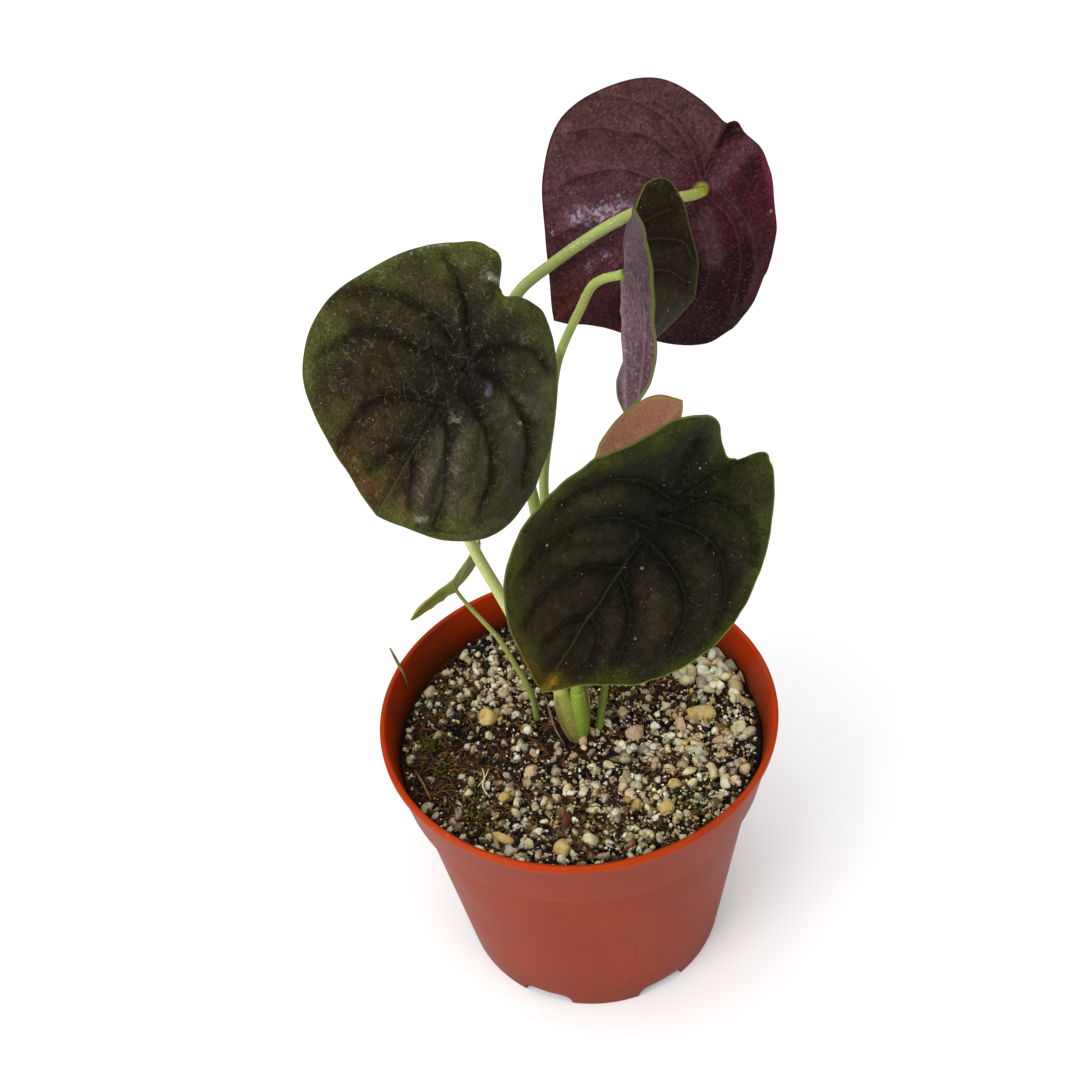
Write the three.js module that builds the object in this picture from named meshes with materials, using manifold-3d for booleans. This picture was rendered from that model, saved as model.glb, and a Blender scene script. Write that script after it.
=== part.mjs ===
import * as THREE from 'three';
import { mergeVertices } from 'three/addons/utils/BufferGeometryUtils.js';
import Module from 'manifold-3d';

// A small peltate-leaved alocasia in a round nursery pot. Millimetres, +Z up,
// with the origin on the pot's axis in the plane that it stands on.

// Driving dimensions of the pot
const POT_HEIGHT = 95;
const RIM_RADIUS = 60;
const LIP_WIDTH = 1.7;
const LIP_HEIGHT = 2.4;
const COLLAR_TOP_RADIUS = 59.4;
const COLLAR_FOOT_RADIUS = 55.5;
const COLLAR_FOOT_HEIGHT = 72.8;
const BODY_TOP_RADIUS = 53.4;
const BASE_RADIUS = 42.5;
const WALL = 1.5;
const FLOOR = 1.6;
const EDGE_EASE = 0.5;
const FOOT_CHAMFER = 1;
const DRAIN_COUNT = 7;
const DRAIN_HALF_ANGLE = THREE.MathUtils.degToRad(11);
const DRAIN_FIRST_ANGLE = THREE.MathUtils.degToRad(-62.9);
const DRAIN_HEIGHT = 4.7;
const DRAIN_INNER_RADIUS = 36;
const ROUND_STEPS = 49;

// Driving dimensions of the potting mix
const GAP = 0.3;
const MIX_LEVEL = 82.4;
const WALL_GAP = 0.4;
const MIX_BOTTOM = 6;
const MIX_RINGS = 6;
const GRAIN_COUNT = 64;
const GRAIN_LEAST = 1.3;
const GRAIN_MOST = 2.8;
const GRAIN_SEED = 41;

// Driving dimensions of the plant
const BLADE_THICKNESS = 0.7;
const STALK_SIDES = 8;
const STALK_STEP = 6;
const SHEATH_TOP = 104;
const BURIED = 9;
const CROWN = [0.7, -1.5, MIX_LEVEL - BURIED];
const CORM_RADIUS = 3.6;
const SHEATH_SIDES = 12;
const LEAD = 5;
const APPROACH = 1.5;

// Each sheath is a spindle: its girth at shares of the way from the crown to its
// top, as a share of its greatest girth
const SHEATH_GIRTHS = [[0, 0.5], [0.3, 0.62], [0.46, 0.92], [0.66, 1], [0.85, 0.86]];

// The blade's low relief: depths as shares of the tip's reach, the number of side
// vein steps along the midrib, and the fan's step in degrees behind the stalk
const QUILT_DEPTH = 0.022;
const QUILT_SWEEP = [0.6, 0.008];
const VEIN_STEPS = 4.2;
const FAN_STEP = 40;
const SEAT_SPREAD = 20;
const WAVE_DEPTH = 0.012;
const WAVES_ROUND = 5;
const LAP_SPREAD = 40;

// The margin's reach from the stalk point is given at these shares of the way
// round from the tip to the notch, once for each half of the blade.
const BEARING_SHARES = [0.07, 0.17, 0.31, 0.45, 0.58, 0.71, 0.83, 0.925, 0.98];

// Each leaf: where the stalk meets the blade, the way its tip points, the way
// its upper side faces, the margin's reach, and how the blade is folded, bent
// and twisted. Folds are in radians, and curl, bend and twist in radians per mm.
// The stalk runs through its points from foot to blade.
const LEAVES = [
  {
    name: 'left_leaf',
    attach: [-19.8, 0, 218.8],
    tipWay: [-0.579, -0.659, -0.479],
    upWay: [0.41, -0.744, 0.528],
    tip: 43.5,
    right: [41, 40, 41, 38.5, 33.5, 31.5, 31, 31, 27.5],
    left: [42, 43, 44.5, 39.5, 32, 29, 28, 23.5, 21],
    notch: 22,
    notchTurn: -9.6,
    fold: { left: -0.32, right: -0.05 },
    curl: { left: -0.004, right: 0.001 },
    bend: { tip: -0.003, base: 0.004 },
    twist: { tip: 0, base: 0 },
    lap: 0,
    colour: 0x35381c,
    footRadius: 1.9,
    topRadius: 1.4,
    sheathGirth: 3.5,
    stalk: [
      [-4.4, -2.5, SHEATH_TOP], [-12, 1, 121], [-19.5, 7, 137.2], [-26, 11, 153.8],
      [-29.6, 14, 172], [-27.8, 12.5, 196], [-22.5, 4.5, 215.6],
    ],
  },
  {
    name: 'front_leaf',
    attach: [27.5, -5, 171.6],
    tipWay: [-0.626, -0.287, -0.725],
    upWay: [0.252, -0.954, 0.16],
    tip: 60,
    right: [54.6, 51.1, 45.6, 37.6, 28.1, 29, 28.8, 23.2, 22.3],
    left: [54.5, 53.4, 48.7, 42, 36.3, 32.2, 31, 31.4, 29.1],
    notch: 23.6,
    notchTurn: 23.7,
    fold: { left: 0, right: 0.28 },
    curl: { left: 0.001, right: 0.001 },
    bend: { tip: -0.002, base: 0.002 },
    twist: { tip: 0, base: 0 },
    lap: 0,
    colour: 0x26301a,
    footRadius: 1.9,
    topRadius: 1.4,
    sheathGirth: 2.8,
    stalk: [
      [0.4, -3.5, SHEATH_TOP], [5.5, 1.5, 122], [14.5, 9, 146], [23.8, 3.6, 166.2],
    ],
  },
  {
    name: 'back_leaf',
    attach: [44.2, 48, 236.4],
    tipWay: [-0.81, -0.152, -0.567],
    upWay: [-0.226, 0.972, 0.063],
    tip: 52,
    right: [46.5, 46.5, 49.5, 34.5, 23, 19.5, 18.5, 18, 19],
    left: [46.5, 42.5, 41.5, 41, 36, 30.5, 23.5, 19.5, 18],
    notch: 18,
    notchTurn: 29.8,
    fold: { left: 0.42, right: 0 },
    curl: { left: 0.001, right: 0.001 },
    bend: { tip: 0.002, base: 0.003 },
    twist: { tip: 0, base: 0 },
    lap: 1.2,
    colour: 0x4a1f2b,
    footRadius: 1.9,
    topRadius: 1.4,
    sheathGirth: 2.6,
    stalk: [
      [-2.6, 2, SHEATH_TOP], [-7.4, 21, 159.8], [-11.7, 29, 181.4], [-12.2, 34, 201.3],
      [-7, 37, 215.9], [2.7, 39, 222.8], [19.4, 40, 232.7], [33.2, 41, 237.6],
    ],
  },
  {
    name: 'folded_leaf',
    attach: [20.2, 2, 239.8],
    tipWay: [-0.045, -0.743, -0.668],
    upWay: [0.911, -0.305, 0.277],
    tip: 34,
    right: [28, 19, 16.5, 18, 25, 22.5, 18, 16, 16],
    left: [27, 24.5, 24, 29, 28, 26, 27, 25.5, 19],
    notch: 16,
    notchTurn: -7.9,
    fold: { left: 0.23, right: 0.56 },
    curl: { left: 0.002, right: 0.002 },
    bend: { tip: 0.003, base: -0.026 },
    twist: { tip: 0.036, base: 0.0095 },
    lap: 0,
    colour: 0x5a4450,
    footRadius: 1.5,
    topRadius: 1.1,
    sheathGirth: 2.4,
    stalk: [
      [1.9, 1, SHEATH_TOP], [-4.1, 15, 165.7], [-0.4, 22, 185.2], [2.5, 21, 203.7],
      [9.3, 13, 224.4], [13.8, 5, 237.1],
    ],
  },
  {
    name: 'young_leaf',
    attach: [24.7, 40, 152.1],
    tipWay: [0.42, -0.12, 0.9],
    upWay: [0.099, 0.991, 0.086],
    tip: 30,
    right: [29, 23, 17, 14.5, 14, 17.5, 17.5, 16.5, 14.5],
    left: [18.5, 17, 16.5, 15.5, 14.5, 18, 17.5, 16.5, 14.5],
    notch: 9,
    notchTurn: 0,
    fold: { left: 0.1, right: 0.1 },
    curl: { left: 0.004, right: 0.004 },
    bend: { tip: 0.004, base: 0.004 },
    twist: { tip: 0, base: 0 },
    lap: 0,
    colour: 0xb98268,
    footRadius: 1.25,
    topRadius: 0.9,
    stalk: [
      [6.2, -0.4, MIX_LEVEL - BURIED], [6, 0.4, MIX_LEVEL], [9, 5, 97], [12.5, 17, 110],
      [18.5, 32, 130], [24.3, 36, 148.7],
    ],
  },
  {
    name: 'seedling_leaf',
    attach: [-32.9, 16, 132.3],
    tipWay: [-0.87, -0.38, -0.31],
    upWay: [-0.483, 0.56, 0.673],
    tip: 16,
    right: [13, 8.5, 5.5, 5, 5.5, 8, 12, 15.5, 16],
    left: [13, 8.5, 5.5, 5, 5.5, 8, 12, 15.5, 16],
    notch: 12,
    notchTurn: 0,
    fold: { left: 0.4, right: 0.4 },
    curl: { left: 0.02, right: 0.02 },
    bend: { tip: 0.005, base: -0.055 },
    twist: { tip: 0, base: 0 },
    lap: 0,
    colour: 0x5d6428,
    footRadius: 1.15,
    topRadius: 0.55,
    stalk: [
      [-12.4, 9.4, MIX_LEVEL - BURIED], [-12.7, 8.4, 80], [-13.9, 5.5, 97.6], [-17.6, 8, 106.4],
      [-21.3, 11, 114.4], [-26.6, 14, 121.3], [-30.7, 16, 126.8],
    ],
  },
];

const wasm = await Module();
wasm.setup();

// Joining and cutting closed meshes
function toSolid(geometry) {
  const bare = geometry.clone();
  bare.deleteAttribute('normal');
  bare.deleteAttribute('uv');
  const merged = mergeVertices(bare, 1e-4);
  return new wasm.Manifold(new wasm.Mesh({
    numProp: 3,
    vertProperties: new Float32Array(merged.attributes.position.array),
    triVerts: new Uint32Array(merged.index.array),
  }));
}

function toGeometry(solid) {
  const { vertProperties, triVerts } = solid.getMesh();
  const geometry = new THREE.BufferGeometry();
  geometry.setAttribute('position', new THREE.BufferAttribute(vertProperties, 3));
  geometry.setIndex(new THREE.BufferAttribute(triVerts, 1));
  return geometry;
}

function joined(solids) {
  return solids.reduce((whole, piece) => whole.add(piece));
}

// A seeded stream of numbers from 0 to 1
function randomStream(seed) {
  let state = seed;
  return () => {
    state = (state * 1664525 + 1013904223) % 4294967296;
    return state / 4294967296;
  };
}

// A closed profile of (radius, height) points turned about the Z axis
function turned(profile, segments) {
  const points = profile.map(([radius, height]) => new THREE.Vector2(radius, height));
  return new THREE.LatheGeometry(points, segments).rotateX(Math.PI / 2);
}

function mixLine(lower, upper, share) {
  return lower + (upper - lower) * share;
}

// The pot's inner wall, a wall's thickness inside the outer one
const INNER = {
  rim: RIM_RADIUS - LIP_WIDTH,
  collarFoot: COLLAR_FOOT_RADIUS - WALL,
  bodyTop: BODY_TOP_RADIUS - WALL,
  floor: BASE_RADIUS - WALL,
};
const STEP_TOP = COLLAR_FOOT_HEIGHT + WALL;
const STEP_FOOT = COLLAR_FOOT_HEIGHT - WALL;

function potProfile() {
  const collarTop = POT_HEIGHT - LIP_HEIGHT;
  return [
    [0, 0],
    [BASE_RADIUS - FOOT_CHAMFER, 0],
    [BASE_RADIUS, FOOT_CHAMFER],
    [BODY_TOP_RADIUS, COLLAR_FOOT_HEIGHT],
    [COLLAR_FOOT_RADIUS, COLLAR_FOOT_HEIGHT + EDGE_EASE],
    [COLLAR_TOP_RADIUS - EDGE_EASE, collarTop - EDGE_EASE],
    [RIM_RADIUS, collarTop],
    [RIM_RADIUS, POT_HEIGHT - EDGE_EASE],
    [RIM_RADIUS - EDGE_EASE, POT_HEIGHT],
    [INNER.rim + EDGE_EASE, POT_HEIGHT],
    [INNER.rim, POT_HEIGHT - EDGE_EASE],
    [INNER.collarFoot, STEP_TOP],
    [INNER.bodyTop, STEP_FOOT],
    [INNER.floor, FLOOR + FOOT_CHAMFER],
    [INNER.floor - FOOT_CHAMFER, FLOOR],
    [0, FLOOR],
  ];
}

// A drain opening: a ring sector that cuts the foot of the wall and the floor's edge
function drainCutter(angle) {
  const outline = new THREE.Shape();
  const from = angle - DRAIN_HALF_ANGLE;
  const to = angle + DRAIN_HALF_ANGLE;
  outline.absarc(0, 0, BASE_RADIUS + 3, from, to, false);
  outline.absarc(0, 0, DRAIN_INNER_RADIUS, to, from, true);
  const sector = new THREE.ExtrudeGeometry(outline, {
    depth: DRAIN_HEIGHT + 1,
    bevelEnabled: false,
    curveSegments: 4,
  });
  return sector.translate(0, 0, -1);
}

function potGeometry() {
  let pot = toSolid(turned(potProfile(), ROUND_STEPS));
  for (let i = 0; i < DRAIN_COUNT; i += 1) {
    const angle = DRAIN_FIRST_ANGLE + (i * 2 * Math.PI) / DRAIN_COUNT;
    pot = pot.subtract(toSolid(drainCutter(angle)));
  }
  return toGeometry(pot);
}

// The height of the mix's surface: its level with long, shallow unevenness
function mixHeight(x, y) {
  const broad = 0.7 * Math.sin(x / 9 + 1) * Math.cos(y / 11);
  const fine = 0.4 * Math.sin(x / 4.3 - y / 5.1);
  return MIX_LEVEL + broad + fine;
}

// The filling: sides that follow the pot's inner wall and an uneven top
function mixBody() {
  const topRadius = mixLine(INNER.collarFoot, INNER.rim,
    (MIX_LEVEL - STEP_TOP) / (POT_HEIGHT - STEP_TOP)) - WALL_GAP;
  const bottomRadius = mixLine(INNER.floor, INNER.bodyTop,
    (MIX_BOTTOM - FLOOR) / (STEP_FOOT - FLOOR)) - WALL_GAP;
  const profile = [
    [0, MIX_BOTTOM],
    [bottomRadius, MIX_BOTTOM],
    [INNER.bodyTop - WALL_GAP, STEP_FOOT],
    [INNER.collarFoot - WALL_GAP, STEP_TOP + WALL_GAP],
    [topRadius - WALL_GAP, MIX_LEVEL - 1],
  ];
  for (let ring = MIX_RINGS; ring > 0; ring -= 1) {
    profile.push([(topRadius - 0.8) * (ring / MIX_RINGS), MIX_LEVEL]);
  }
  profile.push([0, MIX_LEVEL]);
  const geometry = turned(profile, ROUND_STEPS);
  const position = geometry.attributes.position;
  for (let i = 0; i < position.count; i += 1) {
    if (position.getZ(i) > MIX_LEVEL - 0.01) {
      position.setZ(i, mixHeight(position.getX(i), position.getY(i)));
    }
  }
  return toSolid(geometry);
}

// Grains of pumice, half sunk in the surface and clear of one another
function mixGrains() {
  const random = randomStream(GRAIN_SEED);
  const reach = INNER.collarFoot - GRAIN_MOST - 1;
  const placed = [];
  while (placed.length < GRAIN_COUNT) {
    const size = GRAIN_LEAST + (GRAIN_MOST - GRAIN_LEAST) * random() ** 2;
    const radius = reach * Math.sqrt(random());
    const angle = 2 * Math.PI * random();
    const x = radius * Math.cos(angle);
    const y = radius * Math.sin(angle);
    const clear = placed.every((other) => Math.hypot(other.x - x, other.y - y) > other.size + size);
    if (clear) {
      placed.push({ x, y, size });
    }
  }
  return placed.map(({ x, y, size }) => {
    const grain = new THREE.IcosahedronGeometry(size, 0);
    grain.scale(1, 0.75 + 0.3 * random(), 0.8);
    grain.rotateZ(2 * Math.PI * random());
    grain.translate(x, y, mixHeight(x, y) + 0.15 * size);
    return toSolid(grain);
  });
}

// The stalk's path, and a round section carried along it and drawn in towards the top
function stalkPath(points) {
  const path = points.map((point) => new THREE.Vector3(...point));
  return new THREE.CatmullRomCurve3(path, false, 'centripetal');
}

function roundSection(radius) {
  const outline = new THREE.Shape();
  for (let i = 0; i < STALK_SIDES; i += 1) {
    const angle = (i * 2 * Math.PI) / STALK_SIDES;
    const corner = [radius * Math.cos(angle), radius * Math.sin(angle)];
    if (i === 0) {
      outline.moveTo(...corner);
    } else {
      outline.lineTo(...corner);
    }
  }
  outline.closePath();
  return outline;
}

function stalkGeometry(points, footRadius, topRadius) {
  const path = stalkPath(points);
  const steps = Math.round(path.getLength() / STALK_STEP);
  const tube = new THREE.ExtrudeGeometry(roundSection(footRadius), {
    steps,
    bevelEnabled: false,
    extrudePath: path,
  });
  const rings = path.getSpacedPoints(steps);
  const position = tube.attributes.position;
  const corner = new THREE.Vector3();
  for (let i = 0; i < position.count; i += 1) {
    corner.fromBufferAttribute(position, i);
    let nearest = 0;
    rings.forEach((ring, index) => {
      if (ring.distanceTo(corner) < rings[nearest].distanceTo(corner)) {
        nearest = index;
      }
    });
    const radius = mixLine(footRadius, topRadius, nearest / steps);
    corner.sub(rings[nearest]).multiplyScalar(radius / footRadius).add(rings[nearest]);
    position.setXYZ(i, corner.x, corner.y, corner.z);
  }
  return tube;
}

// The blade's own frame: across, towards the tip, and out of the upper side
function bladeFrame(leaf) {
  const along = new THREE.Vector3(...leaf.tipWay).normalize();
  const up = new THREE.Vector3(...leaf.upWay);
  up.addScaledVector(along, -up.dot(along)).normalize();
  const across = new THREE.Vector3().crossVectors(along, up);
  return { across, along, up };
}

// The margin's reach at a bearing, in degrees from the tip round the right half,
// as a smooth curve through the given reaches
function marginKnots(leaf) {
  const back = 180 + leaf.notchTurn;
  const bearing = [0];
  const reach = [leaf.tip];
  BEARING_SHARES.forEach((share, i) => {
    bearing.push(share * back);
    reach.push(leaf.right[i]);
  });
  bearing.push(back);
  reach.push(leaf.notch);
  for (let i = BEARING_SHARES.length - 1; i >= 0; i -= 1) {
    bearing.push(360 - BEARING_SHARES[i] * (360 - back));
    reach.push(leaf.left[i]);
  }
  bearing.push(360);
  reach.push(leaf.tip);
  const last = bearing.length - 1;
  const rate = [];
  for (let i = 0; i < last; i += 1) {
    rate.push((reach[i + 1] - reach[i]) / (bearing[i + 1] - bearing[i]));
  }
  const slope = bearing.map((_, i) => {
    if (i === 0) {
      return rate[0];
    }
    if (i === last) {
      return rate[last - 1];
    }
    if (bearing[i] === back) {
      return 0;
    }
    const before = bearing[i] - bearing[i - 1];
    const after = bearing[i + 1] - bearing[i];
    return (rate[i - 1] * after + rate[i] * before) / (before + after);
  });
  return { bearing, reach, slope, back };
}

function marginReach(knots, bearing) {
  const { bearing: at, reach, slope } = knots;
  let i = 0;
  while (i < at.length - 2 && bearing >= at[i + 1]) {
    i += 1;
  }
  const span = at[i + 1] - at[i];
  const u = (bearing - at[i]) / span;
  return (2 * u ** 3 - 3 * u ** 2 + 1) * reach[i]
    + (u ** 3 - 2 * u ** 2 + u) * span * slope[i]
    + (3 * u ** 2 - 2 * u ** 3) * reach[i + 1]
    + (u ** 3 - u ** 2) * span * slope[i + 1];
}

// Bearings set closer together near the tip and the notch
function bladeBearing(back, share) {
  const off = Math.abs(2 * share - 1);
  const eased = 0.45 * off + 0.55 * off * off * (3 - 2 * off);
  return share <= 0.5 ? back * (1 - eased) : back + (360 - back) * eased;
}

// The blade's middle surface in its own frame. The midrib is an arc that bends
// away from the upper side, each half leaves it at its fold and curls on
// outwards, and the section turns along the midrib.
function bladePoint(leaf, x, y) {
  const straight = 1e-5;
  const towardsTip = y > 0;
  const bend = (towardsTip ? leaf.bend.tip : leaf.bend.base) || straight;
  const angle = bend * y;
  const ribAlong = Math.sin(angle) / bend;
  const ribDown = (Math.cos(angle) - 1) / bend;
  const side = x > 0 ? 'right' : 'left';
  const fold = leaf.fold[side];
  const curl = leaf.curl[side] || straight;
  const end = fold + curl * Math.abs(x);
  const out = (Math.sign(x) * (Math.sin(end) - Math.sin(fold))) / curl;
  const rise = (Math.cos(fold) - Math.cos(end)) / curl;
  const turn = (towardsTip ? leaf.twist.tip : leaf.twist.base) * y;
  const across = out * Math.cos(turn) - rise * Math.sin(turn);
  const lift = out * Math.sin(turn) + rise * Math.cos(turn);
  return new THREE.Vector3(
    across,
    ribAlong + lift * Math.sin(angle),
    ribDown + lift * Math.cos(angle),
  );
}

// The quilting between the side veins: veins leave the midrib at even steps and
// sweep towards the tip, and behind the stalk point they fan out
function quilt(leaf, x, y, share) {
  const off = Math.abs(x);
  const sweep = QUILT_SWEEP[0] * off + QUILT_SWEEP[1] * off * off;
  const veinStep = leaf.tip / VEIN_STEPS;
  let phase = (y - sweep) / veinStep;
  if (phase < 0) {
    const bearing = THREE.MathUtils.radToDeg(Math.atan2(off, y) - Math.atan2(off, sweep));
    phase = off > 0 ? -bearing / FAN_STEP : 0;
  }
  const pillow = Math.abs(Math.sin(Math.PI * phase)) - 0.5;
  const fade = (1 - share ** 3) * (off ** 2 / (off ** 2 + SEAT_SPREAD));
  return QUILT_DEPTH * leaf.tip * pillow * fade;
}

// The notch's two lobes lap: one edge stands forward of the other
function lapOffset(leaf, bearing, back, share) {
  const away = bearing - back;
  return -leaf.lap * share * Math.sign(away) * Math.exp(-Math.abs(away) / LAP_SPREAD);
}

function bladeGeometry(leaf) {
  const knots = marginKnots(leaf);
  const around = leaf.tip > 40 ? 60 : 40;
  const rings = Math.max(3, Math.min(7, Math.round(leaf.tip / 6)));
  const upper = [];
  const lower = [];
  const step = 0.05;
  const addPoint = (x, y, share, bearing) => {
    const middle = bladePoint(leaf, x, y);
    const alongX = bladePoint(leaf, x + step, y).sub(bladePoint(leaf, x - step, y));
    const alongY = bladePoint(leaf, x, y + step).sub(bladePoint(leaf, x, y - step));
    const normal = alongX.cross(alongY).normalize();
    const phase = THREE.MathUtils.degToRad(bearing * WAVES_ROUND);
    const wave = WAVE_DEPTH * leaf.tip * share ** 4 * Math.sin(phase);
    const shift = quilt(leaf, x, y, share) + lapOffset(leaf, bearing, knots.back, share) + wave;
    upper.push(middle.clone().addScaledVector(normal, shift + BLADE_THICKNESS / 2));
    lower.push(middle.clone().addScaledVector(normal, shift - BLADE_THICKNESS / 2));
  };
  addPoint(0, 0, 0, knots.back);
  for (let ring = 1; ring <= rings; ring += 1) {
    for (let i = 0; i < around; i += 1) {
      const bearing = bladeBearing(knots.back, i / around);
      const share = ring / rings;
      const radius = share * marginReach(knots, bearing);
      const angle = THREE.MathUtils.degToRad(bearing);
      addPoint(radius * Math.sin(angle), radius * Math.cos(angle), share, bearing);
    }
  }
  const at = (ring, i) => 1 + (ring - 1) * around + (i % around);
  const faces = [];
  for (let i = 0; i < around; i += 1) {
    faces.push([0, at(1, i + 1), at(1, i)]);
    for (let ring = 1; ring < rings; ring += 1) {
      faces.push([at(ring, i), at(ring, i + 1), at(ring + 1, i)]);
      faces.push([at(ring, i + 1), at(ring + 1, i + 1), at(ring + 1, i)]);
    }
  }
  const under = upper.length;
  const index = [];
  faces.forEach(([a, b, c]) => {
    index.push(a, b, c);
    index.push(under + a, under + c, under + b);
  });
  for (let i = 0; i < around; i += 1) {
    const here = at(rings, i);
    const next = at(rings, i + 1);
    index.push(here, next, under + next);
    index.push(here, under + next, under + here);
  }
  const geometry = new THREE.BufferGeometry();
  geometry.setFromPoints([...upper, ...lower]);
  geometry.setIndex(index);
  geometry.computeVertexNormals();
  return geometry;
}

// A sheathed stalk's foot, and the way from the crown up through it
function sheathAxis(leaf) {
  const root = new THREE.Vector3(...CROWN);
  const foot = new THREE.Vector3(...leaf.stalk[0]);
  return { root, foot, axis: foot.clone().sub(root).normalize() };
}

// The stalk's points. A sheathed one first goes straight on from its sheath, and
// each ends square on to the blade's underside, a gap short of it.
function stalkPoints(leaf) {
  const { up } = bladeFrame(leaf);
  const [first, ...rest] = leaf.stalk;
  const start = [first];
  if (leaf.sheathGirth) {
    const { foot, axis } = sheathAxis(leaf);
    start.push(foot.addScaledVector(axis, LEAD).toArray());
  }
  const seat = new THREE.Vector3(...leaf.attach);
  const droop = Math.max(0, -leaf.fold.left, -leaf.fold.right) * leaf.topRadius;
  seat.addScaledVector(up, -(BLADE_THICKNESS / 2 + GAP + droop));
  const approach = seat.clone().addScaledVector(up, -APPROACH * leaf.topRadius);
  return [...start, ...rest, approach.toArray(), seat.toArray()];
}

// A sheath about one stalk's foot: a spindle that leans from the crown to the
// stalk and ends a gap short of it
function sheathSolid(leaf, clearance) {
  const { root, foot, axis } = sheathAxis(leaf);
  const length = foot.distanceTo(root) - GAP + clearance;
  const topGirth = leaf.footRadius + GAP + clearance;
  const sides = SHEATH_GIRTHS.map(([share, girth]) => [
    leaf.sheathGirth * girth + clearance,
    share * length,
  ]);
  const profile = [[0, 0], ...sides, [topGirth, length], [0, length]];
  const turn = new THREE.Quaternion();
  turn.setFromUnitVectors(new THREE.Vector3(0, 0, 1), axis);
  const sheath = turned(profile, SHEATH_SIDES).applyQuaternion(turn);
  return toSolid(sheath.translate(root.x, root.y, root.z));
}

// The sheaths that wrap the stalks' feet, joined on a corm at the crown
function stemBase(clearance) {
  const sheaths = LEAVES.filter((leaf) => leaf.sheathGirth);
  const corm = new THREE.SphereGeometry(CORM_RADIUS + clearance, 12, 8).rotateX(Math.PI / 2);
  corm.translate(...CROWN);
  return joined([...sheaths.map((leaf) => sheathSolid(leaf, clearance)), toSolid(corm)]);
}

function mixGeometry() {
  let mix = joined([mixBody(), ...mixGrains()]);
  mix = mix.subtract(stemBase(GAP));
  LEAVES.filter((leaf) => !leaf.sheathGirth).forEach((leaf) => {
    const [[x, y, z], ...rest] = stalkPoints(leaf);
    const girth = leaf.footRadius + GAP;
    const hole = stalkGeometry([[x, y, z - GAP], ...rest], girth, leaf.topRadius + GAP);
    mix = mix.subtract(toSolid(hole));
  });
  const largest = mix.decompose().reduce((a, b) => (a.volume() > b.volume() ? a : b));
  return toGeometry(largest);
}

function finish(colour, roughness) {
  return new THREE.MeshStandardMaterial({ color: colour, roughness, metalness: 0 });
}

const plant = new THREE.Group();

function addMesh(name, geometry, material) {
  const mesh = new THREE.Mesh(geometry, material);
  mesh.name = name;
  plant.add(mesh);
  return mesh;
}

addMesh('pot', potGeometry(), finish(0xb4472f, 0.45));
addMesh('potting_mix', mixGeometry(), finish(0x3a3128, 0.95));
addMesh('stem_base', toGeometry(stemBase(0)), finish(0x93a446, 0.5));
LEAVES.forEach((leaf) => {
  const stalk = stalkGeometry(stalkPoints(leaf), leaf.footRadius, leaf.topRadius);
  addMesh(`${leaf.name}_stalk`, toGeometry(toSolid(stalk)), finish(0x9fb04e, 0.5));
  const blade = addMesh(`${leaf.name}_blade`, bladeGeometry(leaf), finish(leaf.colour, 0.4));
  const { across, along, up } = bladeFrame(leaf);
  blade.quaternion.setFromRotationMatrix(new THREE.Matrix4().makeBasis(across, along, up));
  blade.position.set(...leaf.attach);
});

export default plant;
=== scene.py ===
"""A small dark-leaved aroid in a terracotta-coloured nursery pot.

Every shape below is worked out in millimetres, with +Z up and the origin on the
pot's axis in the plane that it stands on. A mesh gets its place in metres.
"""

import math

import bpy
import numpy as np
from mathutils import Matrix


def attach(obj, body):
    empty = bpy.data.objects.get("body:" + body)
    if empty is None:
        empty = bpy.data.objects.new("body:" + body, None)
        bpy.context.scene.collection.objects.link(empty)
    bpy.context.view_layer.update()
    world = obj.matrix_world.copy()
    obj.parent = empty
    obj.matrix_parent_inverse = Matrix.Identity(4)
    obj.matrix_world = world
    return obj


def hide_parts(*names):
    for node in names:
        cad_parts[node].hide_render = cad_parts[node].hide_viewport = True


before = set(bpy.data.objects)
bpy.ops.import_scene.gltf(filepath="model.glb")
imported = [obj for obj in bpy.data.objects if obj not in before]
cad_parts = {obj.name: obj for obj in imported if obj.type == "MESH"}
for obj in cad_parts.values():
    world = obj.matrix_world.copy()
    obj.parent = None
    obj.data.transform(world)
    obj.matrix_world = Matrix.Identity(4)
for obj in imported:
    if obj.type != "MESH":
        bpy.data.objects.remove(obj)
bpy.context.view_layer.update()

METRES = 0.001
TURN = 2 * math.pi

# Pot. The radii are outer ones, and the drain openings' azimuths are in degrees.
POT_HEIGHT = 95.0
RIM_RADIUS = 60.0
LIP_WIDTH = 1.7
LIP_HEIGHT = 2.4
COLLAR_TOP_RADIUS = 59.4
COLLAR_FOOT_RADIUS = 55.5
COLLAR_FOOT_HEIGHT = 72.8
BODY_TOP_RADIUS = 53.4
BASE_RADIUS = 42.5
WALL = 1.5
FLOOR = 1.6
DRAIN_COUNT = 7
DRAIN_FIRST = -62.9
DRAIN_HALF = 11.0
DRAIN_HEIGHT = 4.7
DRAIN_INNER_RADIUS = 36.0
# Shares of an opening's half width at which its rounded corner has points
DRAIN_CORNERS = (0.8, 0.9, 0.95, 0.975, 0.99, 0.998, 1.0, 1.03, 1.1)
# Points on each softened corner of the profile, and corners on its inner side
CORNER_STEPS = 4
INNER_CORNERS = 6

# Potting mix
MIX_LEVEL = 82.4
MIX_BOTTOM = 6.0
MIX_REACH = 55.2
STRAND_REACH = 53.2
STEM_ROOM = 6.5
PEBBLE_FACETS = 8

# Plant
BLADE_THICKNESS = 0.7
STALK_SIDES = 24
SHEATH_SIDES = 28
# Radians per millimetre that stand for no bend at all
STRAIGHT = 1e-5
SHEATH_TOP = 104.0
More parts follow.
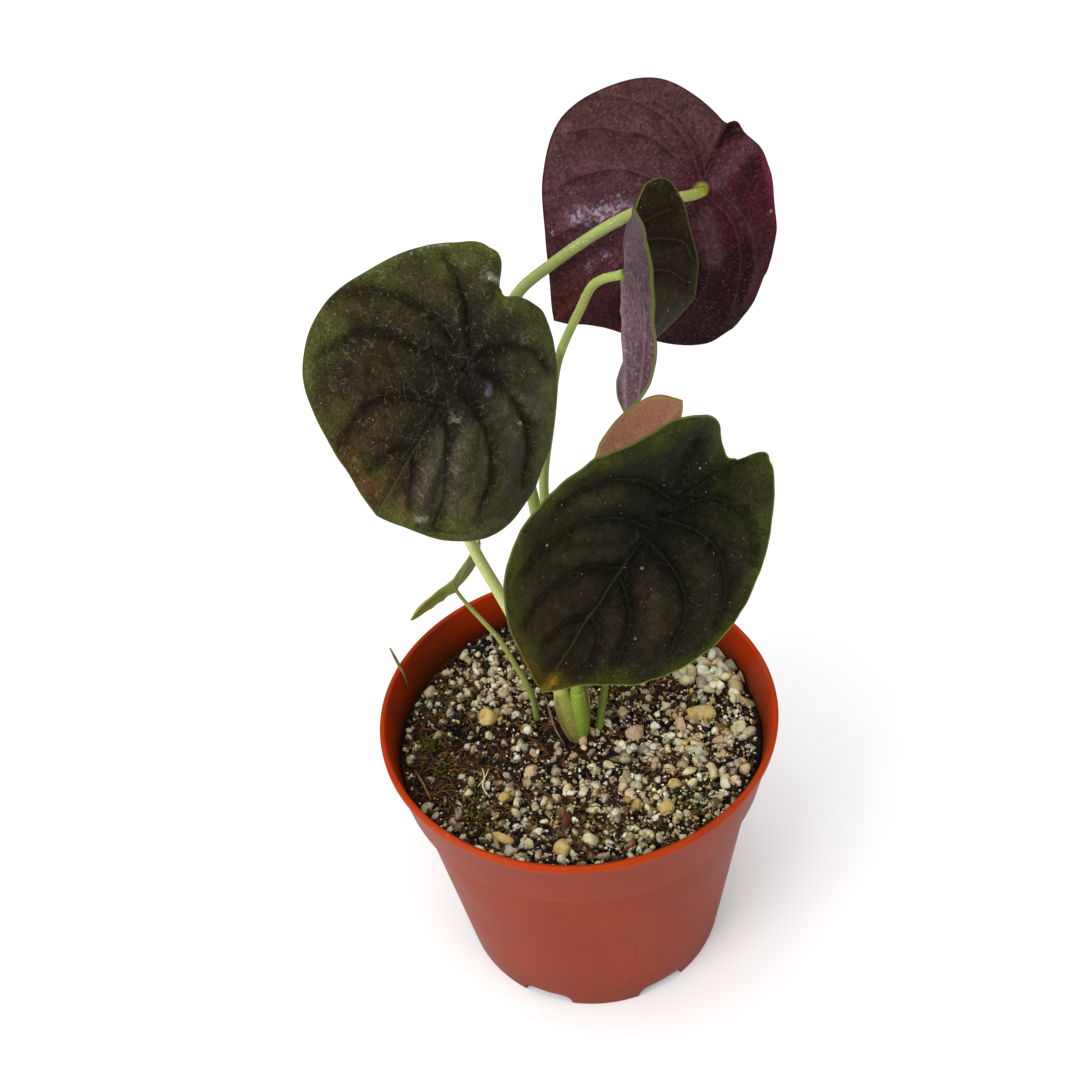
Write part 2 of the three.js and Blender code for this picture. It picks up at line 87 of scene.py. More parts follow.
# A sheath's shares of its length, and of its widest radius there
SHEATH_GIRTHS = ((0, 0.5), (0.3, 0.62), (0.46, 0.92), (0.66, 1), (0.85, 0.86))
SHEATH_LEAD = 5.0
CROWN = (0.7, -1.5, MIX_LEVEL - 9)
CORM_RADIUS = 3.6
# Shares of the way round from tip to notch at which a leaf's reaches are given
BEARING_SHARES = (0.07, 0.17, 0.31, 0.45, 0.58, 0.71, 0.83, 0.925, 0.98)

# Each leaf, as in the solid model: the stalk point, the way the tip points, the
# way the upper side faces, the margin's reach round the right and the left half,
# how the blade folds, curls, bends, twists and overlaps at its notch, and its
# stalk. The height of its quilting, the stalk's flare at the top, and the side
# veins, in flat coordinates (across, along), are finer than the solids.
LEAVES = {
    "left_leaf": dict(
        quilt=2.6, attach=(-19.8, 0, 218.8), tip_way=(-0.579, -0.659, -0.479), up_way=(0.41, -0.744, 0.528),
        tip=43.5, right=(41, 40, 41, 38.5, 33.5, 31.5, 31, 31, 27.5),
        left=(42, 43, 44.5, 39.5, 32, 29, 28, 23.5, 21), notch=22, notch_turn=-9.6, fold=(-0.32, -0.05),
        curl=(-0.004, 0.001), bend=(-0.003, 0.004), twist=(0, 0), lap=0, foot_radius=1.9, top_radius=1.4,
        sheath=3.5,
        stalk=(
            (-4.4, -2.5, SHEATH_TOP), (-12, 1, 121), (-19.5, 7, 137.2), (-26, 11, 153.8), (-29.6, 14, 172),
            (-27.8, 12.5, 196), (-22.5, 4.5, 215.6),
        ),
        veins=(
            ((0, 12), (-6, 16), (-11, 22), (-15, 28), (-17.5, 36)),
            ((-1, 5), (-10, 6.5), (-18.5, 10), (-24.5, 16), (-28, 27)),
            ((-2, -2), (-13.5, -3), (-23, -1), (-31, 4), (-36, 12)), ((-1, -4), (-7, -12), (-14, -16), (-22, -15)),
            ((0, 10.5), (7, 13.5), (12, 17), (15.5, 23), (16, 34)), ((1, 1), (10, 2), (18, 4), (25, 7), (31.5, 18)),
            ((2, -2), (12, -5.5), (20.5, -5), (28.5, -2), (37, 6)), ((1, -4), (7.5, -12.5), (13, -17), (20, -20)),
            ((0, 24), (4, 28), (7, 35)), ((0, 25), (-4, 30), (-7.5, 37)),
        ),
    ),
    "front_leaf": dict(
        quilt=1.9, attach=(27.5, -5, 171.6), tip_way=(-0.626, -0.287, -0.725), up_way=(0.252, -0.954, 0.16), tip=60,
        right=(54.6, 51.1, 45.6, 37.6, 28.1, 29, 28.8, 23.2, 22.3),
        left=(54.5, 53.4, 48.7, 42, 36.3, 32.2, 31, 31.4, 29.1), notch=23.6, notch_turn=23.7, fold=(0, 0.28),
        curl=(0.001, 0.001), bend=(-0.002, 0.002), twist=(0, 0), lap=0, foot_radius=1.9, top_radius=1.4, sheath=2.8,
        stalk=(
            (0.4, -3.5, SHEATH_TOP), (5.5, 1.5, 122), (14.5, 9, 146), (23.8, 3.6, 166.2),
        ),
        veins=(
            ((0, 21.5), (-6, 25.5), (-10.5, 30), (-14, 37), (-15.5, 44)),
            ((0, 9), (-7.5, 11), (-15.5, 14), (-21.5, 18), (-26, 24.5), (-28, 34)),
            ((-1, 2), (-11.5, 0.5), (-20, 2), (-27, 6.5), (-32.5, 13), (-36, 22)),
            ((-2, -2), (-10.5, -9.5), (-19, -10.5), (-26, -7.5), (-34, 1)),
            ((0, 19), (5, 20.5), (11, 22), (18, 28), (21, 35.5), (21, 43)),
            ((1, 6), (8, 6), (14, 7), (21.5, 10), (27, 15.5), (31, 22), (31.5, 29)),
            ((2, -4), (12.5, -5), (22, -3), (29, 1), (35, 9)), ((1, -5), (3, -12), (6, -20)),
            ((-2, -5), (-6, -14), (-10, -22)), ((0, 35), (6, 38), (10, 45)), ((0, 35), (-5, 38), (-8.5, 46)),
        ),
    ),
    "back_leaf": dict(
        quilt=2.2, attach=(44.2, 48, 236.4), tip_way=(-0.81, -0.152, -0.567), up_way=(-0.226, 0.972, 0.063), tip=52,
        right=(46.5, 46.5, 49.5, 34.5, 23, 19.5, 18.5, 18, 19),
        left=(46.5, 42.5, 41.5, 41, 36, 30.5, 23.5, 19.5, 18), notch=18, notch_turn=29.8, fold=(0.42, 0),
        curl=(0.001, 0.001), bend=(0.002, 0.003), twist=(0, 0), lap=1.2, foot_radius=1.9, top_radius=1.4,
        sheath=2.6, flare=-0.18, neck_tone=0x868C18,
        stalk=(
            (-2.6, 2, SHEATH_TOP), (-7.4, 21, 159.8), (-11.7, 29, 181.4), (-12.2, 34, 201.3), (-7, 37, 215.9),
            (2.7, 39, 222.8), (19.4, 40, 232.7), (33.2, 41, 237.6),
        ),
        veins=(
            ((-1, 0), (-13, 0), (-20.5, 2), (-25, 6), (-30, 10), (-36, 19)),
            ((-1, -1), (-8, -3.5), (-15, -5), (-22, -4), (-29, -1), (-37, 5)),
            ((-2, -3), (-8, -6), (-13, -7), (-19, -7), (-25, -5)),
            ((0, 5), (-5, 6.5), (-11, 8), (-18, 12), (-22, 17.5), (-25, 24), (-27, 31)),
            ((0, 17), (-8, 21), (-14, 28), (-17, 37)), ((0, 4), (11.5, 7), (21.5, 12), (28, 21.5), (30, 35)),
            ((0, 17), (8, 20), (15, 27), (18, 39)), ((1, 0), (12, -1), (22.5, 2), (32, 8), (41, 18)),
            ((2, -3), (15, -4), (26, -1), (34, 4), (40, 11)),
        ),
    ),
    "folded_leaf": dict(
        attach=(20.2, 2, 239.8), tip_way=(-0.045, -0.743, -0.668), up_way=(0.911, -0.305, 0.277), tip=34,
        right=(28, 19, 16.5, 18, 25, 22.5, 18, 16, 16), left=(27, 24.5, 24, 29, 28, 26, 27, 25.5, 19), notch=16,
        notch_turn=-7.9, fold=(0.23, 0.56), curl=(0.002, 0.002), bend=(0.003, -0.026), twist=(0.036, 0.0095), lap=0,
        foot_radius=1.5, top_radius=1.1, sheath=2.4,
        stalk=(
            (1.9, 1, SHEATH_TOP), (-4.1, 15, 165.7), (-0.4, 22, 185.2), (2.5, 21, 203.7), (9.3, 13, 224.4),
            (13.8, 5, 237.1),
        ),
        veins=(
            ((1, -12), (8, 2), (9, 9), (6, 18), (3, 30)), ((0, 2), (10, -4), (16, -3)),
            ((-1, -6), (-8, -11), (-13, -13), (-19, -14), (-23, -11)), ((-1, 1), (-9, -3), (-17, -5), (-24, -4)),
            ((0, 9), (-8, 9), (-15, 12), (-20, 17)), ((0, -9), (-5, -15), (-10, -20)),
        ),
    ),
    "young_leaf": dict(
        attach=(24.7, 40, 152.1), tip_way=(0.42, -0.12, 0.9), up_way=(0.099, 0.991, 0.086), tip=30,
        right=(29, 23, 17, 14.5, 14, 17.5, 17.5, 16.5, 14.5),
        left=(18.5, 17, 16.5, 15.5, 14.5, 18, 17.5, 16.5, 14.5), notch=9, notch_turn=0, fold=(0.1, 0.1),
        curl=(0.004, 0.004), bend=(0.004, 0.004), twist=(0, 0), lap=0, foot_radius=1.25, top_radius=0.9,
        stalk=(
            (6.2, -0.4, CROWN[2]), (6, 0.4, MIX_LEVEL), (9, 5, 97), (12.5, 17, 110), (18.5, 32, 130),
            (24.3, 36, 148.7),
        ),
    ),
    "seedling_leaf": dict(
        attach=(-32.9, 16, 132.3), tip_way=(-0.87, -0.38, -0.31), up_way=(-0.483, 0.56, 0.673), tip=16,
        right=(13, 8.5, 5.5, 5, 5.5, 8, 12, 15.5, 16), left=(13, 8.5, 5.5, 5, 5.5, 8, 12, 15.5, 16), notch=12,
        notch_turn=0, fold=(0.4, 0.4), curl=(0.02, 0.02), bend=(0.005, -0.055), twist=(0, 0), lap=0,
        foot_radius=1.15, top_radius=0.55,
        stalk=(
            (-12.4, 9.4, CROWN[2]), (-12.7, 8.4, 80), (-13.9, 5.5, 97.6), (-17.6, 8, 106.4), (-21.3, 11, 114.4),
            (-26.6, 14, 121.3), (-30.7, 16, 126.8),
        ),
    ),
}

# The broad tones of each blade's two sides. A tone is (across, along, reach,
# colour) in the blade's flat coordinates.
UPPER_TONES = {
    "left_leaf": (
        (33, 4, 12, 0x33290F), (29, 21, 12, 0x241B0D), (6, 37, 9, 0x5A3812), (-12, 28, 10, 0x3E3A24),
        (-22, -6, 11, 0x48452A), (20, -18, 10, 0x3A3618), (-25, 32, 7, 0x4C4A24), (2, 2, 9, 0x0F1009),
        (-1, 24, 8, 0x1C170A),
    ),
    "front_leaf": (
        (33, 12, 12, 0x26240C), (3, 17, 12, 0x0C0C04), (-21, -16, 8, 0x30320F), (-19, 34, 10, 0x251E12),
        (0, 61, 3, 0x7A5808), (12, -22, 9, 0x23260C), (17, 42, 9, 0x382A18), (-19, 6, 9, 0x1E1A0C),
        (3, 31, 9, 0x0D0B06),
    ),
    "back_leaf": ((0, 0, 40, 0x2B2A14), (20, 10, 20, 0x333218)),
    "folded_leaf": ((0, 0, 30, 0x281C0E), (12, 8, 10, 0x1C180C), (-10, 12, 10, 0x2E2212)),
    "young_leaf": ((0, 0, 30, 0x5A4A30), (6, 14, 10, 0x4D4428)),
    "seedling_leaf": ((0, 0, 20, 0xB2B278), (0, 12, 6, 0xB4B478)),
}
UNDER_TONES = {
    "left_leaf": ((0, 0, 40, 0x5A242E), (-15, 12, 14, 0x4A1A20)),
    "front_leaf": ((0, 0, 40, 0x54202A), (-15, 20, 16, 0x461820)),
    "back_leaf": (
        (-29, -3, 12, 0x5A3E3A), (-30, 19, 12, 0x644242), (-12, 24, 12, 0x5C3844), (-2, 42, 10, 0x603638),
        # Painted shade: the near-black tones at (34, 26) and (36, 10) darken the lower right half, where it turns
        # away from the light
        (14, -9, 11, 0x4E141E), (34, 26, 12, 0x1E0606), (36, 10, 10, 0x1C0505), (12, 16, 10, 0x38101A),
        (15, 39, 10, 0x4C2024),
    ),
    "folded_leaf": ((-8, 8, 9, 0x8A7076), (2, 22, 8, 0x6A5056), (0, 32, 8, 0x5C444A), (12, 0, 9, 0x564048)),
    "young_leaf": ((0, 0, 20, 0xB47C62), (8, 16, 8, 0xBE886A), (-8, 20, 8, 0xAE7862)),
    "seedling_leaf": ((0, -6, 5, 0xBEC08C), (0, 4, 5, 0x9C9C58), (0, 12, 6, 0x84842C)),
}

# Where water lies on a blade's side and painted sheen goes: (across, along, reach)
WET = {
    ("back_leaf", "under"): (
        (-16.5, 28.5, 2.0), (-13.5, 25, 2.1), (-10.8, 20.5, 2.3), (-7, 19, 1.8), (-3.6, 30.5, 1.0), (-4.2, 35, 1.1),
    ),
    ("left_leaf", "upper"): (
        (8, -22.5, 1.4), (15.5, -20.5, 1.0), (25.5, -18.8, 1.6), (-10.5, -17, 1.6), (-23.5, 2, 1.8), (-11, 37, 1.4),
        (-4.8, 11.5, 1.6),
    ),
}

# Side veins of one half where a leaf names none: the share of the tip's reach at
# which each leaves the midrib, and the bearing at which it nears the margin
PLAIN_VEINS = ((0.55, 12), (0.3, 30), (0.08, 62), (0.0, 108), (0.0, 150))

# The upper side's border: (colour, reach, strength)
BORDERS = {"left_leaf": (0x6A7230, 9, 0.85), "front_leaf": (0x4C5316, 7.5, 0.78), "back_leaf": (0x3A4216, 8, 0.8),
           "folded_leaf": (0x2C2C10, 3, 0.7), "young_leaf": (0x5E5C2C, 5, 0.8), "seedling_leaf": (0x80883A, 2, 0.8)}

# Marks painted on a side: (from across, from along, to across, to along, half width,
# colour, strength)
UPPER_MARKS = {
    "left_leaf": (
        (-8.2, -0.3, -8.8, 1.4, 1.0, 0x9C8CA4, 0.9), (-5.5, 3, -7, 9, 2.0, 0x0E0E08, 0.7),
        (-7, 8, -8.5, 12, 1.6, 0x5C4648, 0.7), (14, 37, 4, 41, 3.4, 0x5E3810, 0.85),
        (26, 29, 15, 37, 3.0, 0x3C2A10, 0.6), (-4.5, 37, -7.5, 38, 2.0, 0x80683A, 0.8),
        # Painted highlight: the greyish marks from (-4, 18), (-10, 12), (-15, 7), (-13, 0.5), (-15, -2), (-18, 28)
        # and (-22, 6) lie along the pillows between the veins
        (-4, 18, -7, 33, 2.4, 0x6A644C, 0.75), (-10, 12, -15, 30, 2.5, 0x6E684E, 0.8),
        (-15, 7, -24, 24, 2.8, 0x5E5A40, 0.75), (-13, 0.5, -27, 6, 2.4, 0x565238, 0.7),
        (2, 15, 9, 32, 3.4, 0x1A160C, 0.6), (-23, -12, -37, -3, 2.2, 0x767440, 0.65),
        (-26, 33, -37, 23, 2.4, 0x747244, 0.7), (-15, -2, -26, -5, 2.4, 0x727054, 0.7),
        (-18, 28, -26, 26, 3.0, 0x706A46, 0.6), (-22, 6, -31, 16, 2.6, 0x56543A, 0.6),
        (-33, -2, -43, 10, 2.0, 0x6A7028, 0.6), (-38, 26, -44, 14, 1.4, 0x6C7634, 0.6),
        (14, -10, 24, -9, 2.4, 0x443C22, 0.5), (8, -24, 22, -22, 1.6, 0x565A30, 0.5),
        (14, 2, 26, 5, 2.6, 0x3C3220, 0.5), (33, 2, 39, 10, 3.0, 0x4E4018, 0.6),
        # Painted highlight: the pale marks from (24.5, -19.5), (7.4, -22) and (-10.6, 37.6) are the shine of a
        # water film
        (24.5, -19.5, 20.5, -22.8, 0.55, 0xA8AA84, 0.8), (7.4, -22, 4.4, -22.9, 0.6, 0xC0C2A8, 0.85),
        # Painted shade: the thin dark lines from (-12.2, 39) and (-18.8, 36) stand for the crease of the folded
        # lower margin
        (-10.6, 37.6, -13.4, 35.8, 0.5, 0xB0B29A, 0.8), (-12.2, 39, -18.8, 36.0, 0.35, 0x141006, 0.8),
        (-18.8, 36.0, -27.5, 31.0, 0.35, 0x141006, 0.7),
    ),
    "front_leaf": (
        (0, 61, 0.3, 55.8, 2.3, 0xB48E20, 0.95), (44, 18, 38, 30, 1.6, 0x565A16, 0.7),
        (40, 2, 28, -8, 1.6, 0x4A5414, 0.6), (24, -14, 14, -24, 1.6, 0x3C4812, 0.6),
        (-30, 46, -38, 30, 1.6, 0x48501C, 0.6), (2, 56.5, 12, 52.5, 1.1, 0x6E4E10, 0.75),
        (12, 52.5, 22, 46, 0.9, 0x5A4C14, 0.6), (-1, 58, -8, 54.5, 0.8, 0x6E5A14, 0.7),
        (2, 12, 6, 26, 4.0, 0x0C0A05, 0.6), (4, 51, 10, 42, 4.0, 0x32261A, 0.7),
        (-7, 17, -9, 22, 3.5, 0x3A241C, 0.5), (-14, 26, -17, 33, 4.0, 0x38261C, 0.45),
        (-5, 33, -8, 44, 4.0, 0x3A2A22, 0.55), (8, 28, 12, 42, 4.5, 0x362A1A, 0.5),
        # Painted sheen: the greyish marks from (-13, 22), (10, 9), (8, 16), (20, 1) and (-14, 6) lie between the
        # veins
        (-13, 22, -19, 30, 2.4, 0x3E3824, 0.5), (10, 9, 22, 13, 3.0, 0x403C24, 0.45),
        (8, 16, 22, 21, 2.6, 0x403C26, 0.45), (20, 1, 30, 6, 2.4, 0x3E3C20, 0.55),
        (-14, 6, -24, 11, 2.4, 0x3A3620, 0.5),
    ),
    "folded_leaf": ((0, -14, 0, 30, 1.0, 0x76803A, 0.6),),
}
UNDER_MARKS = {
    "back_leaf": (
        # Painted highlight: the mauve marks from (-0.4, -17) and (-3.4, -11) light the fold of the right lobe by
        # the notch
        (-0.4, -17, 1.6, -5, 2.8, 0x6A4450, 0.75), (-3.4, -11, -1.4, -5, 1.6, 0x5E3C42, 0.6),
        # Painted shadow: the dark marks from (-7.2, -18) down to (-3.0, -2.8) are the shadow where the left lobe
        # laps over the right one at the notch
        (-7.2, -18, -6.8, -15.6, 2.6, 0x20100B, 0.97), (-6.7, -14.8, -6.4, -13.2, 1.7, 0x20100B, 0.95),
        (-6.4, -12.4, -6.1, -10.4, 1.1, 0x20100B, 0.9), (-6.1, -9.6, -3.0, -2.8, 0.5, 0x1E0E0A, 0.8),
        (-9.4, -13.6, -6.8, -7.6, 0.5, 0x6E5250, 0.6), (6, -14, 10, -7.5, 2.6, 0x2C060C, 0.75),
        # Painted shade: the wide near-black mark from (14, 34) darkens the lower right half
        (14, 34, 26, 6, 6.0, 0x1E0606, 0.7), (33, -2, 42, 10, 2.5, 0x5C1824, 0.5),
        (4, -19, 12, -15.6, 1.7, 0x7E2A44, 0.75), (12, -15.6, 22.5, -10.6, 1.5, 0x7A2840, 0.75),
        # Painted sheen: the pale mauve marks from (-17, 29.5), (-5, 36) and (8, 4) are the shine of the wet patches
        # and between the veins
        (22.5, -10.6, 30, -6.4, 1.4, 0x6A2032, 0.6), (-17, 29.5, -8, 17, 2.8, 0x7C5C6C, 0.65),
        (-5, 36, -3, 28, 1.4, 0x6A4650, 0.5), (-2, 50, 0, 44, 4.0, 0x6A2C24, 0.75),
        (8, 4, 21, 9, 3.0, 0x705058, 0.6), (8, -3, 20, -3, 2.0, 0x56323A, 0.6),
        (-31, 2, -22, 0, 2.2, 0x6A4A4A, 0.5), (-18, 14, -12, 11, 2.2, 0x6E4C50, 0.5),
        (-36, 12, -26, 12, 3.0, 0x5A3A34, 0.5),
    ),
    "folded_leaf": ((3, 30, 6, 19, 2.6, 0x5C4048, 0.6),),
}


def by_leaf(**rows):
    """Each leaf's own traits, from a row of six values for each trait, which stand in
    the order of LEAVES."""
    return {leaf: {trait: values[i] for trait, values in rows.items()} for i, leaf in enumerate(LEAVES)}


# How strong each part of a blade's pattern is, how far it reaches in millimetres,
# and its colours
UPPER_LOOKS = by_leaf(
    rough=(0.36, 0.38, 0.4, 0.42, 0.42, 0.42),
    specular=(0.1, 0.05, 0.08, 0.03, 0.12, 0.12),
    relief=(0.5, 0.4, 0.4, 0.3, 0.25, 0.2),
    blotch=(0.45, 0.45, 0.45, 0.45, 0.4, 0.35),
    crest=(0.22, 0.25, 0.25, 0.25, 0.3, 0.3),
    heart=(0.8, 0.85, 0.6, 0.3, 0.3, 0.2),
    heart_reach=(20, 27, 20, 14, 12, 8),
    valley=(0.75, 0.8, 0.6, 0.45, 0.4, 0.4),
    strokes=(0.36, 0.22, 0.35, 0.2, 0.2, 0.1),
    line=(0.1, 0.28, 0.2, 0.3, 0.3, 0.3),
    rib_width=(0.42, 0.38, 0.42, 0.4, 0.4, 0.35),
    edging=(0.7, 0.8, 0.7, 0.6, 0.6, 0.6),
    deep=(0x100D04, 0x070702, 0x0E0E06, 0x130F07, 0x3A3018, 0x4A5018),
    pale=(0x5A5434, 0x3C3820, 0x4E4A2A, 0x4A4024, 0x7A6A48, 0x9EA050),
    stroke=(0x8A8668, 0x5E5C42, 0x6A6840, 0x5C563A, 0x8A7A58, 0xAAAC60),
    vein=(0x3C3820, 0x34341A, 0x42402A, 0x504A30, 0x7A7040, 0x989C4C),
    rib=(0x58563A, 0x42482A, 0x545A2C, 0x6A703A, 0x8A8848, 0x9AA048),
    rim=(0x62642E, 0x7A8040, 0x6E7440, 0x687040, 0x9A9450, 0xAAAC54),
    wet=(0x9A9A7E, 0x7E7E68, 0x9A9A80, 0x80806A, 0xB0A088, 0xB8BA90),
)
UNDER_LOOKS = by_leaf(
    rough=(0.45, 0.45, 0.38, 0.42, 0.48, 0.45),
    specular=(0.08, 0.08, 0.06, 0.12, 0.14, 0.1),
    relief=(0.25, 0.25, 0.4, 0.25, 0.2, 0.2),
    blotch=(0.4, 0.4, 0.5, 0.4, 0.25, 0.3),
    pores=(0.5, 0.5, 0.7, 0.7, 0.25, 0.2),
    dots=(0.3, 0.3, 0.35, 0.55, 0.35, 0.2),
    valley=(0.4, 0.4, 0.45, 0.3, 0.2, 0.2),
    line=(0.2, 0.2, 0.12, 0.25, 0.12, 0.3),
    rib_width=(0.7, 0.7, 0.7, 0.6, 0.6, 0.5),
    border=(0.6, 0.6, 0.5, 1.15, 1.2, 0.6),
    deep=(0x2A0A0E, 0x280A0C, 0x1C0606, 0x2E1A20, 0x92593C, 0x5A6020),
    pale=(0x805860, 0x7C545C, 0x86606A, 0xA68C96, 0xDCB294, 0xB0B268),
    vein=(0x7A4248, 0x7A4248, 0x7C4E56, 0x97808A, 0xC08E70, 0x9CA04C),
    rib=(0x8E9438, 0x8E9438, 0xA4A040, 0x8F9440, 0xA09A48, 0x848C2E),
    rim=(0x6E6A3A, 0x6E6A3A, 0x4E1A20, 0x5E6A24, 0xB09A58, 0xAAAC54),
    wet=(0xA88C98, 0xA88C98, 0xB8A2B4, 0xB8A2B4, 0xD8B8A0, 0xB8BA90),
)

# Points round and rows out on each blade's grid
GRIDS = {"left_leaf": (300, 54), "front_leaf": (310, 58), "back_leaf": (300, 56), "folded_leaf": (240, 40),
         "young_leaf": (200, 30), "seedling_leaf": (140, 20)}

# A stalk's tones at its foot and at its top, and a sheath's at its low and high end
STALK_TONES = {
    "left_leaf": (0xC8D080, 0xDCE4A0), "front_leaf": (0x8CA038, 0xA8B44C), "back_leaf": (0x96A254, 0x949C60),
    "folded_leaf": (0x8A9C44, 0xA0AE5C), "young_leaf": (0x6E7C34, 0x929A48), "seedling_leaf": (0x949C54, 0x9CA050),
}
SHEATH_TONES = {"left_leaf": (0x7A6A34, 0xA8A454), "front_leaf": (0x6E8A28, 0x90B03C),
                "back_leaf": (0x6A6238, 0x868E48), "folded_leaf": (0x5E5838, 0x7A8444)}

# Tones of pumice, and the lumps that stand out: (across, towards the back, breadth, tone)
PUMICE_TONES = {"cream": 0xCCC094, "white": 0xD8D4BC, "peach": 0xC2A684, "beige": 0xAA9C72,
                "yellow": 0xC2A660, "grey": 0xA09880, "brown": 0x6E5436}
LARGE_PUMICE = (
    (35.7, 22.3, 7.2, "cream"), (40.4, 22.3, 4.3, "white"), (45.2, 23.0, 4.3, "peach"),
    (50.6, 22.8, 6.4, "grey"), (52.4, 17.4, 4.2, "beige"), (48.7, 28.4, 5.6, "grey"),
    (43.6, 32.4, 6.4, "cream"), (37.4, 28.6, 5.2, "white"), (-27.9, 9.4, 7.1, "yellow"),
    (-21.9, 11.6, 4.2, "cream"), (-46.6, 23.2, 4.3, "cream"), (37.4, 2.5, 6.2, "yellow"),
    (48.1, -3.2, 4.1, "cream"), (17.1, -2.4, 6.1, "peach"), (-24.5, -38.7, 4.6, "yellow"),
    (-7.8, -44.2, 5.3, "yellow"), (0.4, -41.3, 4.6, "cream"), (8.0, -14.2, 3.2, "cream"),
    (26.1, -9.9, 3.6, "cream"), (23.5, 0.2, 3.3, "white"), (31.5, -18.9, 3.6, "cream"),
    (41.3, -25.6, 3.9, "white"), (37.3, -28.7, 3.1, "white"), (38.0, -20.6, 4.4, "cream"),
    (22.8, -32.1, 5.0, "yellow"), (13.6, -26.6, 2.7, "white"), (2.0, -29.8, 3.9, "cream"),
    (-4.6, -23.1, 2.8, "white"), (-15.0, -13.8, 4.0, "peach"), (-23.3, -23.1, 3.6, "yellow"),
    (-19.8, -26.0, 3.5, "cream"), (8.8, 1.3, 2.9, "white"), (3.8, -1.2, 2.9, "peach"),
    (1.0, -4.8, 3.3, "peach"), (-27.3, 17.4, 3.4, "peach"), (-20.3, 26.0, 3.4, "peach"),
    (51.7, -6.5, 3.7, "grey"), (52.6, 6.2, 4.2, "beige"), (48.0, -20.2, 2.8, "peach"),
    (-18.2, -2.2, 2.9, "cream"), (33.4, -10.2, 3.2, "cream"), (21.0, -16.2, 2.8, "peach"),
    (30.9, -0.1, 4.9, "peach"), (-7.0, -30.4, 3.5, "brown"), (17.9, -31.0, 2.7, "cream"),
    (8.0, -32.5, 3.5, "white"), (-20.5, -34.8, 2.3, "white"), (-36.7, 19.1, 3.4, "white"),
    (26.9, -24.0, 3.5, "yellow"), (19.4, -35.1, 2.7, "white"), (-34.9, 39.4, 2.2, "white"),
    (-41.5, 30.9, 2.6, "peach"), (-25.3, 32.0, 2.6, "peach"), (44.4, -3.8, 2.4, "yellow"),
    (41.2, -3.5, 2.4, "white"), (30.0, -7.6, 3.2, "cream"), (38.4, 0.1, 2.5, "peach"),
    (11.3, -22.3, 3.6, "beige"), (-0.3, -23.1, 3.9, "white"), (19.5, -7.5, 3.2, "white"),
)

# Drops on a blade's side: (across, along, radius)
DROPS = {
    ("left_leaf", "upper"): (
        (7.2, -21.8, 0.7), (-23.2, 1.2, 0.75), (24, -19, 0.6), (26.8, -14.8, 0.5), (-11.5, 37.5, 0.55),
    ),
    ("front_leaf", "upper"): ((-4.2, 16.8, 0.6), (-15.5, 34.8, 0.45), (29.8, 20, 0.5), (-0.5, -15, 0.45)),
    ("back_leaf", "under"): (
        (-13.8, 23.2, 0.9), (-15.8, 29.8, 0.6), (-13.2, 17.2, 0.7), (-4.8, 36, 0.45), (-2.5, 29, 0.4),
        (-17.5, 36, 0.45), (20.2, -10.8, 0.6),
    ),
}

# Thin cords through points: (name, (tone, other tone, roughness, specular), cords of
# (points, radius), slot)
CORDS = (
    ("dry_twig", (0x8A6A48, 0x5E4630, 0.8, 0.15), (
        (((-57.6, 29.6, 97), (-54.4, 22.3, 95.5), (-53.4, 20.8, 93.5), (-52.6, 19.6, 89)), 0.5),
        (((-50.6, -10.4, 83.8), (-48, -16, 84.3), (-45.5, -22.3, 83.6)), 0.35)), "potting_mix"),
    ("dry_wisps", (0xA8906A, 0x7E6444, 0.7, 0.2), (
        (((-8.9, -9, 108.9), (-8.2, -8, 101.7), (-7, -7, 92.6), (-4.9, -6, 85.0)), 0.3),
        (((-6, -5, 104.7), (-6.2, -5.5, 98.8), (-5.1, -5.5, 92), (-2.8, -5, 84.5)), 0.28),
        (((2.5, -3.5, 106.8), (3.5, -3, 103.6), (3.4, -3, 95.8), (2.1, -3.5, 88)), 0.35)), "green_stalk"),
    ("rootlets", (0xD8CCA8, 0xB8A880, 0.6, 0.3), (
        (((-30, -12, 84), (-29.5, -16, 84.3), (-30, -19.5, 84.2), (-28, -23, 83.4)), 0.26),
        (((-28, -12.5, 84.2), (-29.5, -16.5, 84.5), (-31.5, -19, 84)), 0.18)), "potting_mix"),
)

# In metres
LIGHT_TARGET = (0, 0, 0.13)


# Colour
def linear(hex_colour, gain=1.0):
    """The linear red, green and blue of a display colour, times a gain."""
    parts = np.array([(hex_colour >> shift) & 255 for shift in (16, 8, 0)]) / 255
    curve = np.where(parts <= 0.04045, parts / 12.92, ((parts + 0.055) / 1.055) ** 2.4)
    return curve * gain


def rgba(hex_colour, gain=1.0):
    """A display colour as a shader socket takes it."""
    return (*linear(hex_colour, gain).tolist(), 1.0)


def palette(hex_colours):
    """The linear colours as rows."""
    return np.array([linear(hex_colour) for hex_colour in hex_colours])


# Meshes
def grid_quads(rows, columns, round_columns=True, round_rows=False):
    """Quads of a grid whose point (row, column) has the number row * columns + column."""
    row = np.arange(rows if round_rows else rows - 1)[:, None]
    column = np.arange(columns if round_columns else columns - 1)[None, :]
    right = (column + 1) % columns
    above = (row + 1) % rows
    corners = (row * columns + column, row * columns + right, above * columns + right, above * columns + column)
    return np.stack([np.broadcast_to(c, (row.size, column.size)) for c in corners], -1).reshape(-1, 4)


def fan(centre, ring, turned_over=False):
    """Triangles from a centre to each step of a ring of point numbers."""
    after = np.roll(ring, -1)
    middle = np.full(len(ring), centre)
    order = (middle, after, ring) if turned_over else (middle, ring, after)
    return np.stack(order, -1)


